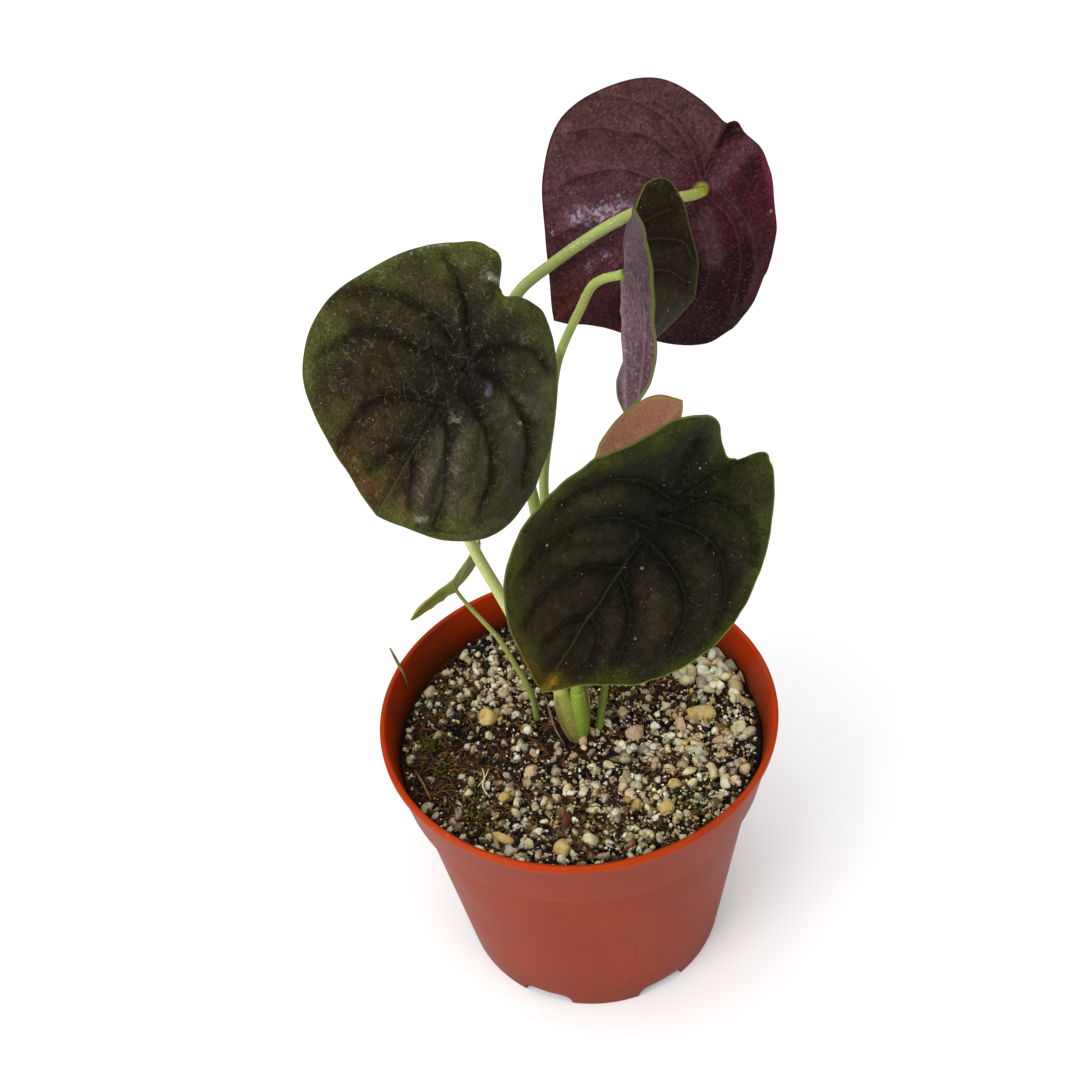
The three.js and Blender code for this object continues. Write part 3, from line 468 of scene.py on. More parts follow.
def capped(rows, columns, turned_over=False):
    """Faces of a closed tube: a grid, and a fan at the first and at the last row to
    a point each. These two points follow the grid's."""
    quads = grid_quads(rows, columns)
    low = rows * columns
    return [quads[:, ::-1] if turned_over else quads, fan(low, np.arange(columns), not turned_over),
            fan(low + 1, low - columns + np.arange(columns), turned_over)]


def repeated(faces, count, each):
    """The faces of a small shape of so many points, for a number of them in a row."""
    first = (np.arange(count) * each)[:, None, None]
    return [(f[None] + first).reshape(-1, f.shape[1]) for f in faces]


def piece(name, points, faces, materials, node=None, slot=None, material_of=None, uv=None, traits=None, tint=None):
    """A smooth mesh from points in millimetres and arrays of triangles and quads. It
    stands for a node, or for none where that is "", or isn't part of the object
    where it is None."""
    mesh = bpy.data.meshes.new(name)
    corners = np.concatenate([np.ravel(f) for f in faces]).astype(np.int32)
    sizes = np.concatenate([np.full(len(f), f.shape[1]) for f in faces])
    starts = np.concatenate([[0], np.cumsum(sizes)[:-1]]).astype(np.int32)
    mesh.vertices.add(len(points))
    mesh.vertices.foreach_set("co", (np.asarray(points) * METRES).astype(np.float32).ravel())
    mesh.loops.add(len(corners))
    mesh.loops.foreach_set("vertex_index", corners)
    mesh.polygons.add(len(starts))
    mesh.polygons.foreach_set("loop_start", starts)
    mesh.polygons.foreach_set("use_smooth", np.ones(len(starts), bool))
    for material in materials:
        mesh.materials.append(material)
    if material_of is not None:
        mesh.polygons.foreach_set("material_index", np.concatenate(material_of).astype(np.int32))
    mesh.update(calc_edges=True)
    if uv is not None:
        mesh.uv_layers.new(name="flat").data.foreach_set("uv", uv[corners].astype(np.float32).ravel())
    for trait, values in (traits or {}).items():
        mesh.attributes.new(trait, "FLOAT", "POINT").data.foreach_set("value", values.astype(np.float32))
    if tint is not None:
        coloured = np.concatenate([tint, np.ones((len(tint), 1))], 1).astype(np.float32)
        mesh.attributes.new("tint", "FLOAT_COLOR", "POINT").data.foreach_set("color", coloured.ravel())
    made = bpy.data.objects.new(name, mesh)
    bpy.context.scene.collection.objects.link(made)
    if node is not None:
        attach(made, "root")
    if node:
        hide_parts(node)
    return made


def softened(outline):
    """A closed profile from corners of (across, up, radius). Each is drawn as a
    quadratic curve that starts and ends a radius away from it along its two sides."""
    points, radii = np.array(outline)[:, :2], np.array(outline)[:, 2]
    share = np.linspace(0, 1, CORNER_STEPS)[:, None]
    out = []
    for before, corner, after, radius in zip(np.roll(points, 1, 0), points, np.roll(points, -1, 0), radii):
        start = corner + (before - corner) * min(0.45, radius / np.linalg.norm(before - corner))
        end = corner + (after - corner) * min(0.45, radius / np.linalg.norm(after - corner))
        out.append((1 - share) ** 2 * start + 2 * share * (1 - share) * corner + share ** 2 * end)
    return np.concatenate(out)


# Materials
class Finish:
    """A principled material and short ways to add the nodes of its pattern. Each way
    gives back the output of the node that it adds, apart from relief and node."""

    def __init__(self, name, roughness, specular):
        self.material = bpy.data.materials.new(name)
        self.material.use_nodes = True
        self.tree = self.material.node_tree
        self.shader = self.tree.nodes["Principled BSDF"]
        self.shader.inputs["Roughness"].default_value = roughness
        self.shader.inputs["Specular IOR Level"].default_value = specular
        self.place = self.tree.nodes.new("ShaderNodeTexCoord")

    def node(self, kind, inputs=None, **settings):
        """A new node, with a value or another node's output for each given input."""
        made = self.tree.nodes.new(kind)
        for key, value in settings.items():
            setattr(made, key, value)
        for key, value in (inputs or {}).items():
            if isinstance(value, bpy.types.NodeSocket):
                self.tree.links.new(value, made.inputs[key])
            else:
                made.inputs[key].default_value = value
        return made

    def where(self, flat=False, scale=None):
        """Object coordinates, or the piece's own flat coordinates, stretched."""
        source = self.place.outputs["UV" if flat else "Object"]
        if scale is None:
            return source
        return self.node("ShaderNodeMapping", {"Vector": source, "Scale": scale}).outputs[0]

    def axis(self, number, at=None):
        return self.node("ShaderNodeSeparateXYZ", {"Vector": at or self.where()}).outputs[number]

    def noise(self, scale, detail=4, rough=0.55, at=None, warp=0.0):
        inputs = {"Vector": at or self.where(), "Scale": scale, "Detail": detail, "Roughness": rough,
                  "Distortion": warp}
        return self.node("ShaderNodeTexNoise", inputs).outputs["Fac"]

    def cells(self, scale, at=None):
        return self.node("ShaderNodeTexVoronoi", {"Vector": at or self.where(), "Scale": scale}).outputs["Distance"]

    def trait(self, name, colour=False):
        """A value that the mesh holds at each of its points."""
        made = self.node("ShaderNodeAttribute", attribute_name=name)
        return made.outputs["Color" if colour else "Fac"]

    def ramp(self, value, low, high, start=0.0, end=1.0):
        """The value's way from low to high as a way from start to end, held there."""
        inputs = {"Value": value, "From Min": low, "From Max": high, "To Min": start, "To Max": end}
        return self.node("ShaderNodeMapRange", inputs).outputs[0]

    def maths(self, operation, a, b=0.0):
        return self.node("ShaderNodeMath", {0: a, 1: b}, operation=operation).outputs[0]

    def times(self, a, b):
        return self.maths("MULTIPLY", a, b)

    def plus(self, a, b):
        return self.maths("ADD", a, b)

    def larger(self, a, b):
        return self.maths("MAXIMUM", a, b)

    def size_of(self, value):
        return self.maths("ABSOLUTE", value)

    def mix(self, share, a, b):
        return self.node("ShaderNodeMix", {0: share, 6: a, 7: b}, data_type="RGBA").outputs[2]

    def over(self, tone, share, hex_colour, gain=1.0):
        """The tone with a display colour laid over it by a share."""
        return self.mix(share, tone, rgba(hex_colour, gain))

    def colour(self, value):
        self.tree.links.new(value, self.shader.inputs["Base Color"])

    def gloss(self, value):
        self.tree.links.new(value, self.shader.inputs["Roughness"])

    def relief(self, height, depth, previous=None):
        """A bump of the given depth in millimetres, laid over an earlier one."""
        made = self.node("ShaderNodeBump", {"Height": height, "Strength": 1.0, "Distance": depth * METRES})
        if previous is not None:
            self.tree.links.new(previous.outputs[0], made.inputs["Normal"])
        self.tree.links.new(made.outputs[0], self.shader.inputs["Normal"])
        return made


def pot_finish():
    """Dusty terracotta plastic: orange at the lip, dull red down the wall with pale
    smudges and faint dust, and inside above the mix, brown stains and painted shade
    that darkens the wall towards the mix."""
    f = Finish("terracotta_plastic", roughness=0.42, specular=0.07)
    smudge = f.noise(26, 5, 0.6)
    wipe = f.noise(7, 3, 0.5, f.where(scale=(1, 1, 3.0)), 0.6)
    height = f.axis(2)
    body = f.mix(f.ramp(smudge, 0.3, 0.72), rgba(0x7C2A14), rgba(0x8C3820))
    body = f.over(body, f.ramp(wipe, 0.5, 0.72, 0, 0.55), 0x702A14)
    bright = f.mix(f.ramp(smudge, 0.3, 0.7), rgba(0xA83804), rgba(0x962E04))
    tone = f.mix(f.ramp(height, 0.0918, 0.0928), body, bright)
    # Painted shade: the inner wall darkens towards the mix
    wall = f.mix(f.ramp(height, 0.083, 0.093), rgba(0x541A06), rgba(0xAC3004))
    wall = f.over(wall, f.ramp(f.noise(45, 4, 0.65), 0.42, 0.66, 0.0, 0.5), 0x4A2A16)
    tone = f.mix(f.trait("inside"), tone, wall)
    tone = f.over(tone, f.ramp(f.noise(30, 4, 0.7, f.where(scale=(1, 1, 0.25))), 0.56, 0.75, 0.0, 0.3), 0x945040)
    dust = f.times(f.ramp(f.cells(240), 0.02, 0.12, 0.6, 0.0), f.ramp(f.noise(60, 2), 0.55, 0.66))
    tone = f.over(tone, dust, 0xAC7866)
    dots = f.times(f.ramp(f.cells(75), 0.012, 0.05, 0.75, 0.0), f.ramp(f.noise(33, 2), 0.6, 0.64))
    tone = f.over(tone, dots, 0x5A1C18)
    # Brown patches that grow darker towards the foot
    dirt = f.times(f.ramp(height, 0.0, 0.016, 1.0, 0.0), f.ramp(f.noise(55, 5, 0.65), 0.42, 0.68, 0.05, 0.7))
    f.colour(f.over(tone, dirt, 0x5A3020))
    f.gloss(f.ramp(smudge, 0.3, 0.75, 0.38, 0.56))
    f.relief(f.noise(900, 2), 0.02, f.relief(f.noise(110, 3), 0.06))
    return f.material


def peat_finish():
    """Black-brown damp peat, crumbly at several scales, rustier in broad patches."""
    f = Finish("peat", roughness=0.9, specular=0.15)
    fine = f.noise(900, 5, 0.7)
    rust = f.times(f.ramp(f.noise(38, 3), 0.45, 0.62, 0.0, 0.7), f.ramp(fine, 0.4, 0.6))
    tone = f.mix(f.ramp(f.noise(160, 4), 0.38, 0.68), rgba(0x0C0A07), rgba(0x241B10))
    tone = f.over(tone, rust, 0x4A2C12)
    f.colour(f.over(tone, f.ramp(fine, 0.6, 0.8, 0, 0.7), 0x5A4830))
    f.relief(fine, 0.8, f.relief(f.cells(520), 0.6))
    return f.material


def grain_finish(name, dark=0x54442A, pale=0xC8BE96, roughness=0.85, specular=0.12, mottle=0.3, pore=0.25):
    """The grain's own tone from its tint, which on lumps holds painted shade on their
    lower part, turning paler in patches, mottled and pitted, with damp brown stains."""
    f = Finish(name, roughness, specular)
    patch = f.noise(420, 4, 0.65)
    tone = f.over(f.trait("tint", True), f.ramp(f.noise(330, 2), 0.5, 0.62, 0.0, mottle * 1.6), pale)
    tone = f.over(tone, f.ramp(patch, 0.48, 0.74, 0, mottle * 1.4), dark)
    f.colour(f.over(tone, f.ramp(f.noise(190, 4, 0.7), 0.52, 0.66, 0.0, mottle * 1.5), dark, 0.6))
    f.relief(f.cells(1500), pore, f.relief(patch, pore))
    return f.material


def stalk_finish():
    """Pale yellow-green living stalk with fine lengthwise streaks and pale specks."""
    f = Finish("green_stalk", roughness=0.45, specular=0.2)
    f.shader.inputs["Subsurface Weight"].default_value = 0.25
    f.shader.inputs["Subsurface Radius"].default_value = (0.0012, 0.0012, 0.0005)
    streak = f.noise(6, 3, 0.6, f.where(True, (9, 0.25, 1)))
    tone = f.over(f.trait("tint", True), f.ramp(streak, 0.38, 0.66, 0, 0.55), 0x7E9030)
    tone = f.over(tone, f.ramp(f.noise(55, 4, 0.6), 0.5, 0.7, 0, 0.35), 0xC0CA78)
    speck = f.times(f.ramp(f.cells(900), 0.05, 0.26, 0.75, 0.0), f.ramp(f.noise(240, 2), 0.42, 0.55))
    f.colour(f.over(tone, speck, 0xE2E8B8))
    f.relief(f.noise(1500, 3), 0.05, f.relief(streak, 0.1))
    return f.material


def bare_finish(name, tone, other, roughness, specular):
    """A small plain thing in two mottled tones with a fine relief."""
    f = Finish(name, roughness, specular)
    patch = f.noise(300, 4, 0.6)
    f.colour(f.mix(f.ramp(patch, 0.38, 0.64), rgba(tone), rgba(other)))
    f.relief(patch, 0.08)
    return f.material


def water_finish():
    """Clear water."""
    clear = bare_finish("water", 0xF2F2F0, 0xE6E8E6, roughness=0.04, specular=0.5)
    shader = clear.node_tree.nodes["Principled BSDF"]
    shader.inputs["Transmission Weight"].default_value = 0.9
    shader.inputs["IOR"].default_value = 1.33
    return clear


def vein_masks(f, ragged):
    """Shares for the side veins: their ragged valleys, where painted shade goes, and
    their thin lines, from the distance to the nearest vein and from the side of it
    that a point lies on."""
    away = f.plus(f.trait("away"), f.ramp(ragged, 0.3, 0.7, -1.1, 1.1))
    line = f.times(f.ramp(f.size_of(f.trait("across")), 0.1, 0.42, 1.0, 0.0),
                   f.ramp(f.trait("away"), 0.9, 1.4, 1.0, 0.0))
    return f.ramp(away, 0.0, 2.5, 1.0, 0.0), line


def hair_lines(f, flat, scale, width):
    """Thin curled lines, where a warped noise crosses its middle value."""
    level = f.plus(f.noise(scale, 1.5, 0.5, flat, 0.8), -0.5)
    return f.ramp(f.size_of(level), 0.0, width, 1.0, 0.0)


def wet_streaks(f, flat):
    """Curled streaks of painted sheen where water lies on the blade."""
    return f.times(f.ramp(f.noise(0.52, 5, 0.65, flat, 1.0), 0.49, 0.6), f.ramp(f.trait("wet"), 0.15, 0.85))


def midrib_mask(f, flat, half_width):
    """1 along the midrib, from the stalk point to the tip."""
    off = f.size_of(f.axis(0, flat))
    return f.times(f.ramp(off, half_width * 0.45, half_width, 1.0, 0.0), f.ramp(f.axis(1, flat), -1.0, 1.5))


def upper_finish(name, look):
    """A blade's upper side: its broad tones, swellings between sunk veins with painted
    highlight on their crests and painted shade in the vein valleys, a dark heart
    round the stalk point and down the midrib, blotches, fine pale hair-like strokes
    of painted highlight, a greener border with a thin pale edge, bright specks of
    painted glint on damp, and painted sheen in curled streaks where water lies."""
    f = Finish(name, look["rough"], look["specular"])
    flat = f.where(True)
    deep, reach = look["deep"], look["heart_reach"]
    blotch = f.noise(0.3, 5, 0.62, flat, 0.8)
    grain = f.noise(1.5, 5, 0.7, flat, 0.3)
    wobble = f.ramp(f.noise(0.16, 4, 0.6, flat, 0.5), 0.3, 0.7, -1.0, 1.0)
    along = f.axis(1, flat)
    tone = f.over(f.trait("tint", True), f.ramp(blotch, 0.36, 0.62, look["blotch"], 0.0), deep)
    # Painted highlight on the crests of the swellings between the veins
    crest = f.times(f.ramp(f.trait("away"), 1.0, 4.5), f.ramp(f.noise(0.35, 4, 0.6, flat, 0.8), 0.4, 0.62))
    tone = f.over(tone, f.times(crest, look["crest"]), look["pale"])
    heart = f.ramp(f.plus(f.trait("hub"), f.times(wobble, 6)), 4.0, reach, look["heart"], 0.0)
    aside = f.plus(f.size_of(f.axis(0, flat)), f.times(wobble, 1.5))
    ribside = f.times(f.ramp(aside, 0.5, reach * 0.33, look["heart"], 0.0), f.ramp(along, 12, 40, 1.0, 0.25))
    ribside = f.times(ribside, f.ramp(along, -3, 3))
    tone = f.over(tone, f.larger(heart, ribside), deep, 0.8)
    valley, line = vein_masks(f, f.noise(0.6, 5, 0.75, flat, 0.4))
    # Painted shade in the valleys of the sunk veins
    tone = f.over(tone, f.times(valley, look["valley"]), deep, 0.7)
    tone = f.over(tone, f.ramp(grain, 0.38, 0.56, 0.6, 0.0), deep)
    tone = f.over(tone, f.ramp(grain, 0.54, 0.72, 0.0, 0.4), look["pale"])
    # Painted highlight: fine pale hair-like strokes
    thin = f.times(hair_lines(f, f.where(True, (1, 0.55, 1)), 0.34, 0.014),
                   f.ramp(f.noise(0.3, 3, 0.6, flat), 0.47, 0.55))
    finer = f.times(hair_lines(f, f.where(True, (0.5, 1.1, 1)), 0.4, 0.016),
                    f.ramp(f.noise(0.36, 3, 0.6, flat), 0.5, 0.58))
    tone = f.over(tone, f.times(f.larger(thin, finer), look["strokes"]), look["stroke"])
    tone = f.over(tone, f.times(line, look["line"]), look["vein"])
    rib = f.times(midrib_mask(f, flat, look["rib_width"]), f.ramp(f.trait("hub"), 4, 30, 0.1, 0.7))
    tone = f.over(tone, rib, look["rib"])
    tone = f.over(tone, f.ramp(f.trait("edge"), 0.15, 0.55, look["edging"], 0.0), look["rim"])
    # Painted glint: bright specks where damp catches the light
    speck = f.times(f.ramp(f.cells(0.7, flat), 0.05, 0.13, 1.0, 0.0), f.ramp(f.noise(0.5, 2, at=flat), 0.56, 0.6))
    tone = f.over(tone, speck, 0xA8A890)
    # Painted sheen in curled streaks where water lies
    f.colour(f.over(tone, f.times(wet_streaks(f, flat), 0.45), look["wet"]))
    f.gloss(f.ramp(grain, 0.3, 0.7, look["rough"] - 0.1, look["rough"] + 0.12))
    first = f.relief(f.noise(5, 3, at=flat), 0.06, f.relief(blotch, look["relief"]))
    f.relief(grain, 0.35, f.relief(f.cells(1.1, flat), 0.12, first))
    return f.material


def under_finish(name, look):
    """A blade's under side: its broad tones, pitted with fine dark pores and pale dots,
    raised veins drawn as thin light lines, partly their own paler tone and partly
    painted highlight on the ridge tops, with painted shade on one flank, painted sheen
    in curled streaks where water lies, and a thin edge."""
    f = Finish(name, look["rough"], look["specular"])
    flat = f.where(True)
    deep, pale = look["deep"], look["pale"]
    blotch = f.noise(0.25, 4, 0.6, flat, 0.6)
    grain = f.noise(1.1, 5, 0.8, f.where(True, (1.5, 0.75, 1)))
    tone = f.over(f.trait("tint", True), f.ramp(blotch, 0.38, 0.64, look["blotch"], 0.0), deep)
    pores = f.times(f.ramp(f.cells(1.0, flat), 0.12, 0.36, look["pores"], 0.0), f.ramp(blotch, 0.4, 0.56))
    tone = f.over(tone, pores, deep)
    dots = f.times(f.ramp(f.cells(0.8, flat), 0.1, 0.34, look["dots"], 0.0),
                   f.ramp(f.noise(0.4, 3, at=flat), 0.4, 0.58))
    tone = f.over(tone, dots, pale)
    tone = f.over(tone, f.ramp(grain, 0.36, 0.54, 0.6, 0.0), deep)
    tone = f.over(tone, f.ramp(grain, 0.52, 0.72, 0.0, 0.4), pale)
    valley, line = vein_masks(f, blotch)
    across = f.trait("across")
    # Painted shade on one flank of each raised vein
    flank = f.times(f.ramp(across, -2.0, -0.3, 0.0, 1.0), f.ramp(across, -0.3, 0.1, 1.0, 0.0))
    tone = f.over(tone, f.times(f.times(flank, valley), look["valley"]), deep)
    # Thin light lines along the raised veins and the midrib: partly their own paler tone, partly painted highlight
    # on the ridge tops
    tone = f.over(tone, f.times(line, look["line"]), look["vein"])
    tone = f.over(tone, f.times(midrib_mask(f, flat, look["rib_width"]), look["line"]), look["vein"])
    tone = f.over(tone, f.ramp(f.trait("hub"), 1.2, 2.4, 0.9, 0.0), look["rib"])
    # Painted sheen in curled streaks where water lies
    tone = f.over(tone, f.times(wet_streaks(f, flat), 0.62), look["wet"])
    border = look["border"]
    f.colour(f.over(tone, f.ramp(f.trait("edge"), border * 0.5, border, 0.85, 0.0), look["rim"]))
    f.gloss(f.ramp(grain, 0.3, 0.7, look["rough"] - 0.08, look["rough"] + 0.12))
    f.relief(grain, 0.4, f.relief(f.cells(1.0, flat), 0.12, f.relief(blotch, look["relief"])))
    return f.material


# Pot
def outer_wall(height):
    """The outer radius of the body, a straight taper from base to step."""
    return BASE_RADIUS + (BODY_TOP_RADIUS - BASE_RADIUS) * height / COLLAR_FOOT_HEIGHT


def drain_share(azimuth):
    """How far a drain opening reaches at an azimuth: 1 over most of its width, and
    falling to 0 at both ends in a rounded corner."""
    away = np.abs((azimuth - DRAIN_FIRST + 180 / DRAIN_COUNT) % (360 / DRAIN_COUNT) - 180 / DRAIN_COUNT)
    return np.clip(1 - (away / DRAIN_HALF) ** 6, 0, 1) ** 0.5


def ring_points(reach, around, height):
    """Points about the axis at bearings in radians, each at its reach and height."""
    return np.stack([reach * np.cos(around), reach * np.sin(around), height + 0 * around], -1)


def make_pot(finish):
    """The wall is a closed profile turned about the axis. Over each drain opening
    its part below a certain height is squeezed upwards along the wall's own taper.
    The floor is a second turned slab, drawn in at the openings."""
    corners = (DRAIN_FIRST + 360 / DRAIN_COUNT * np.arange(DRAIN_COUNT)[:, None, None]
               + np.array([[-1], [1]]) * (DRAIN_HALF * np.array(DRAIN_CORNERS))).ravel() % 360
    step = 1.5
    plain = np.arange(0, 360, step)
    plain = plain[np.abs((plain[:, None] - corners + 180) % 360 - 180).min(1) > step / 3]
    azimuth = np.sort(np.concatenate([plain, corners]))
    around = np.radians(azimuth)
    collar_top = POT_HEIGHT - LIP_HEIGHT
    inner_wall = BASE_RADIUS - WALL
    taper = (BODY_TOP_RADIUS - BASE_RADIUS) / COLLAR_FOOT_HEIGHT
    high = DRAIN_HEIGHT + 4
    outline = (
        (BASE_RADIUS - 1.3, 0, 0.3), (BASE_RADIUS, 0, 0.9), (outer_wall(high), high, 0.2),
        (outer_wall(high + 1), high + 1, 0.2), (outer_wall(40), 40, 4), (outer_wall(70), 70, 1),
        (outer_wall(70.3) + 0.1, 70.6, 0.2), (outer_wall(71.2) + 0.1, 71.3, 0.2),
        (BODY_TOP_RADIUS, COLLAR_FOOT_HEIGHT - 0.6, 1.1), (COLLAR_FOOT_RADIUS, COLLAR_FOOT_HEIGHT + 0.4, 1.6),
        (COLLAR_TOP_RADIUS - 0.4, collar_top - 0.5, 0.6), (RIM_RADIUS, collar_top, 0.7),
        (RIM_RADIUS, POT_HEIGHT, 0.85), (RIM_RADIUS - LIP_WIDTH, POT_HEIGHT, 0.7),
        (COLLAR_FOOT_RADIUS - WALL, COLLAR_FOOT_HEIGHT + WALL, 1.2),
        (BODY_TOP_RADIUS - WALL, COLLAR_FOOT_HEIGHT - WALL, 1.2),
        (inner_wall + taper * (high + 1), high + 1, 0.2), (inner_wall + taper * high, high, 0.2),
        (inner_wall, 0.3, 0.3),
    )
    profile = softened(outline)
    level = profile[:, 1][:, None]
    squeeze = np.clip(1 - level / high, 0, 1) * DRAIN_HEIGHT * drain_share(azimuth)
    wall = ring_points(profile[:, 0][:, None] + taper * squeeze, around, level + squeeze).reshape(-1, 3)
    inside = np.arange(len(profile)) >= len(profile) - INNER_CORNERS * CORNER_STEPS
    slab_rim = BASE_RADIUS - 0.6
    reach = slab_rim - (slab_rim - DRAIN_INNER_RADIUS) * drain_share(azimuth)
    slab_rows = ((0.5, 0.4), (0.97, 0.4), (1, 0.7), (1, FLOOR - 0.2), (0.985, FLOOR), (0.5, FLOOR))
    slab = [ring_points(share * reach, around, z) for share, z in slab_rows]
    slab = np.concatenate([*slab, [[0, 0, 0.4], [0, 0, FLOOR]]])
    faces = [grid_quads(len(profile), len(azimuth), round_rows=True)]
    faces += [f + len(wall) for f in capped(len(slab_rows), len(azimuth))]
    inside = np.concatenate([np.repeat(inside.astype(float), len(azimuth)), np.ones(len(slab))])
    piece("nursery_pot", np.concatenate([wall, slab]), faces, [finish], "pot", "pot_plastic",
          traits={"inside": inside})


# Potting mix
def mix_height(x, y):
    """The mix's level with long, shallow unevenness."""
    return MIX_LEVEL + 0.7 * np.sin(x / 9 + 1) * np.cos(y / 11) + 0.4 * np.sin(x / 4.3 - y / 5.1)


def on_mix(x, y, lift):
    """Places a lift above the mix's level."""
    return np.column_stack([x, y, mix_height(x, y) + lift])


def lumps(x, y, random, count=26, longest=9.0, shortest=1.6):
    """Crumbly relief: a sum of sine waves in random directions, finer ones shallower."""
    total = np.zeros_like(x)
    for length in np.geomspace(longest, shortest, count):
        way = random.uniform(0, TURN)
        phase = (x * np.cos(way) + y * np.sin(way)) * TURN / length
        total += length * 0.035 * np.sin(phase + random.uniform(0, TURN))
    return total


def make_bed(finish):
    """A polar surface with crumbly relief, and sides that follow the pot's wall."""
    random = np.random.default_rng(5)
    turns, rings = 200, 70
    around = np.linspace(0, TURN, turns, endpoint=False)
    radius = MIX_REACH * np.linspace(0, 1, rings + 1)[1:] ** 0.75
    x = radius[:, None] * np.cos(around)
    y = radius[:, None] * np.sin(around)
    edge = np.clip((MIX_REACH - radius) / 3, 0, 1)[:, None]
    top = np.stack([x, y, mix_height(x, y) + lumps(x, y, random) * edge - 0.3], -1)
    sides = ((MIX_REACH, MIX_LEVEL - 2.2), (53.6, 74.7), (51.5, 71.3), (41.3, MIX_BOTTOM + 0.4), (40.6, MIX_BOTTOM))
    grid = np.concatenate([top, [ring_points(reach, around, height) for reach, height in sides]])
    points = np.concatenate([grid.reshape(-1, 3), [[0, 0, mix_height(0, 0)], [0, 0, MIX_BOTTOM]]])
    piece("peat_bed", points, capped(len(grid), turns, True), [finish], "potting_mix", "potting_mix")


def pebble_grid(rows, columns):
    """Directions on a sphere at rows of latitude, with a point at each pole, and faces."""
    lat = np.linspace(-90, 90, rows + 2)[1:-1]
    lon = np.linspace(0, 360, columns, endpoint=False)
    a, b = np.meshgrid(np.radians(lat), np.radians(lon), indexing="ij")
    ways = np.stack([np.cos(a) * np.cos(b), np.cos(a) * np.sin(b), np.sin(a)], -1).reshape(-1, 3)
    return np.concatenate([ways, [[0, 0, -1], [0, 0, 1]]]), capped(rows, columns)


def pebbles(places, sizes, random, rows, columns, squash=(1, 0.8, 0.66), angular=0.86):
    """Broken lumps: each is the shape left where a sphere is cut by random planes,
    softened towards the sphere, squashed, turned and put at its place. The last
    result is painted shade: each point's share of light, less on the lower part of a lump."""
    ways, faces = pebble_grid(rows, columns)
    count = len(places)
    normals = units(random.normal(size=(count, PEBBLE_FACETS, 3)))
    depth = random.uniform(0.55, 0.95, (count, PEBBLE_FACETS, 1))
    facing = np.einsum("nfk,pk->nfp", normals, ways)
    cut = np.where(facing > 0.05, depth / np.maximum(facing, 0.05), 9).min(1)
    radius = (1 - angular) * 0.9 + angular * np.minimum(cut, 1.2)
    body = ways[None] * radius[:, :, None] * np.array(squash) * random.uniform(0.72, 1.28, (count, 1, 3))
    turns = np.linalg.qr(random.normal(size=(count, 3, 3)))[0]
    turns[:, :, 0] *= np.sign(np.linalg.det(turns))[:, None]
    body = np.einsum("nij,npj->npi", turns, body)
    shade = 0.5 + 0.5 * np.clip(body[:, :, 2] * 1.3 + 0.75, 0, 1)
    points = places[:, None, :] + body * (np.asarray(sizes) / 2)[:, None, None]
    return points.reshape(-1, 3), repeated(faces, count, len(ways)), shade.reshape(-1, 1)


def from_stems(x, y):
    """The distance from the middle of the stems."""
    return np.hypot(x + 1.5, y)


def scattered(random, count, density, reach=54.0):
    """Points in the pot's mouth, kept in proportion to the density at their place."""
    x = random.uniform(-reach, reach, count * 8)
    y = random.uniform(-reach, reach, count * 8)
    keep = (np.hypot(x, y) < reach) & (random.uniform(0, 1, len(x)) < density(x, y))
    keep &= from_stems(x, y) > STEM_ROOM
    return x[keep][:count], y[keep][:count]


def clumped(random, clumps, flatness=1.0):
    """Points in clumps of (across, towards the back, reach, count)."""
    x = [random.normal(c[0], c[2], c[3]) for c in clumps]
    y = [random.normal(c[1], c[2] * flatness, c[3]) for c in clumps]
    return np.concatenate(x), np.concatenate(y)


def spot(x, y, centre, reach):
    """1 at a centre, fading as a bell curve of the given reach."""
    return np.exp(-((x - centre[0]) ** 2 + (y - centre[1]) ** 2) / (2 * reach ** 2))


def pumice_density(x, y):
    """Pumice lies thickest on the right, in the front middle and left of the stems."""
    thick = 0.42 + 0.5 * spot(x, y, (36, 8), 24) + 0.45 * spot(x, y, (-25, 26), 10)
    thick += 0.35 * spot(x, y, (2, -32), 20) + 0.3 * spot(x, y, (30, -22), 14)
    thin = 0.35 * spot(x, y, (-46, -8), 12) + 0.4 * spot(x, y, (-10, -6), 6)
    thin += 0.35 * spot(x, y, (-42, 36), 10) + 0.25 * spot(x, y, (14, 18), 10)
    return np.clip(thick - thin, 0.05, 1)


def picked(random, count, tones, weights=None):
    """A random one of the tones for each thing, by weight where weights are given."""
    shares = None if weights is None else np.array(weights) / np.sum(weights)
    return palette(tones)[random.choice(len(tones), count, p=shares)]


def make_grains(name, finish, places, sizes, tone, random, rows, columns, **shape):
    """One piece of many lumps, each in its own tone with painted shade on its lower
    part. Points that would lie beyond the pot's inner wall are drawn in to it."""
    points, faces, shade = pebbles(places, sizes, random, rows, columns, **shape)
    points[:, :2] *= np.minimum(1, MIX_REACH / np.hypot(points[:, 0], points[:, 1]))[:, None]
    # Painted shade: the tone darkens on the lower part of each lump
    tint = np.repeat(tone, len(shade) // len(places), 0) * shade
    piece(name, points, faces, [finish], "", "potting_mix", tint=tint)


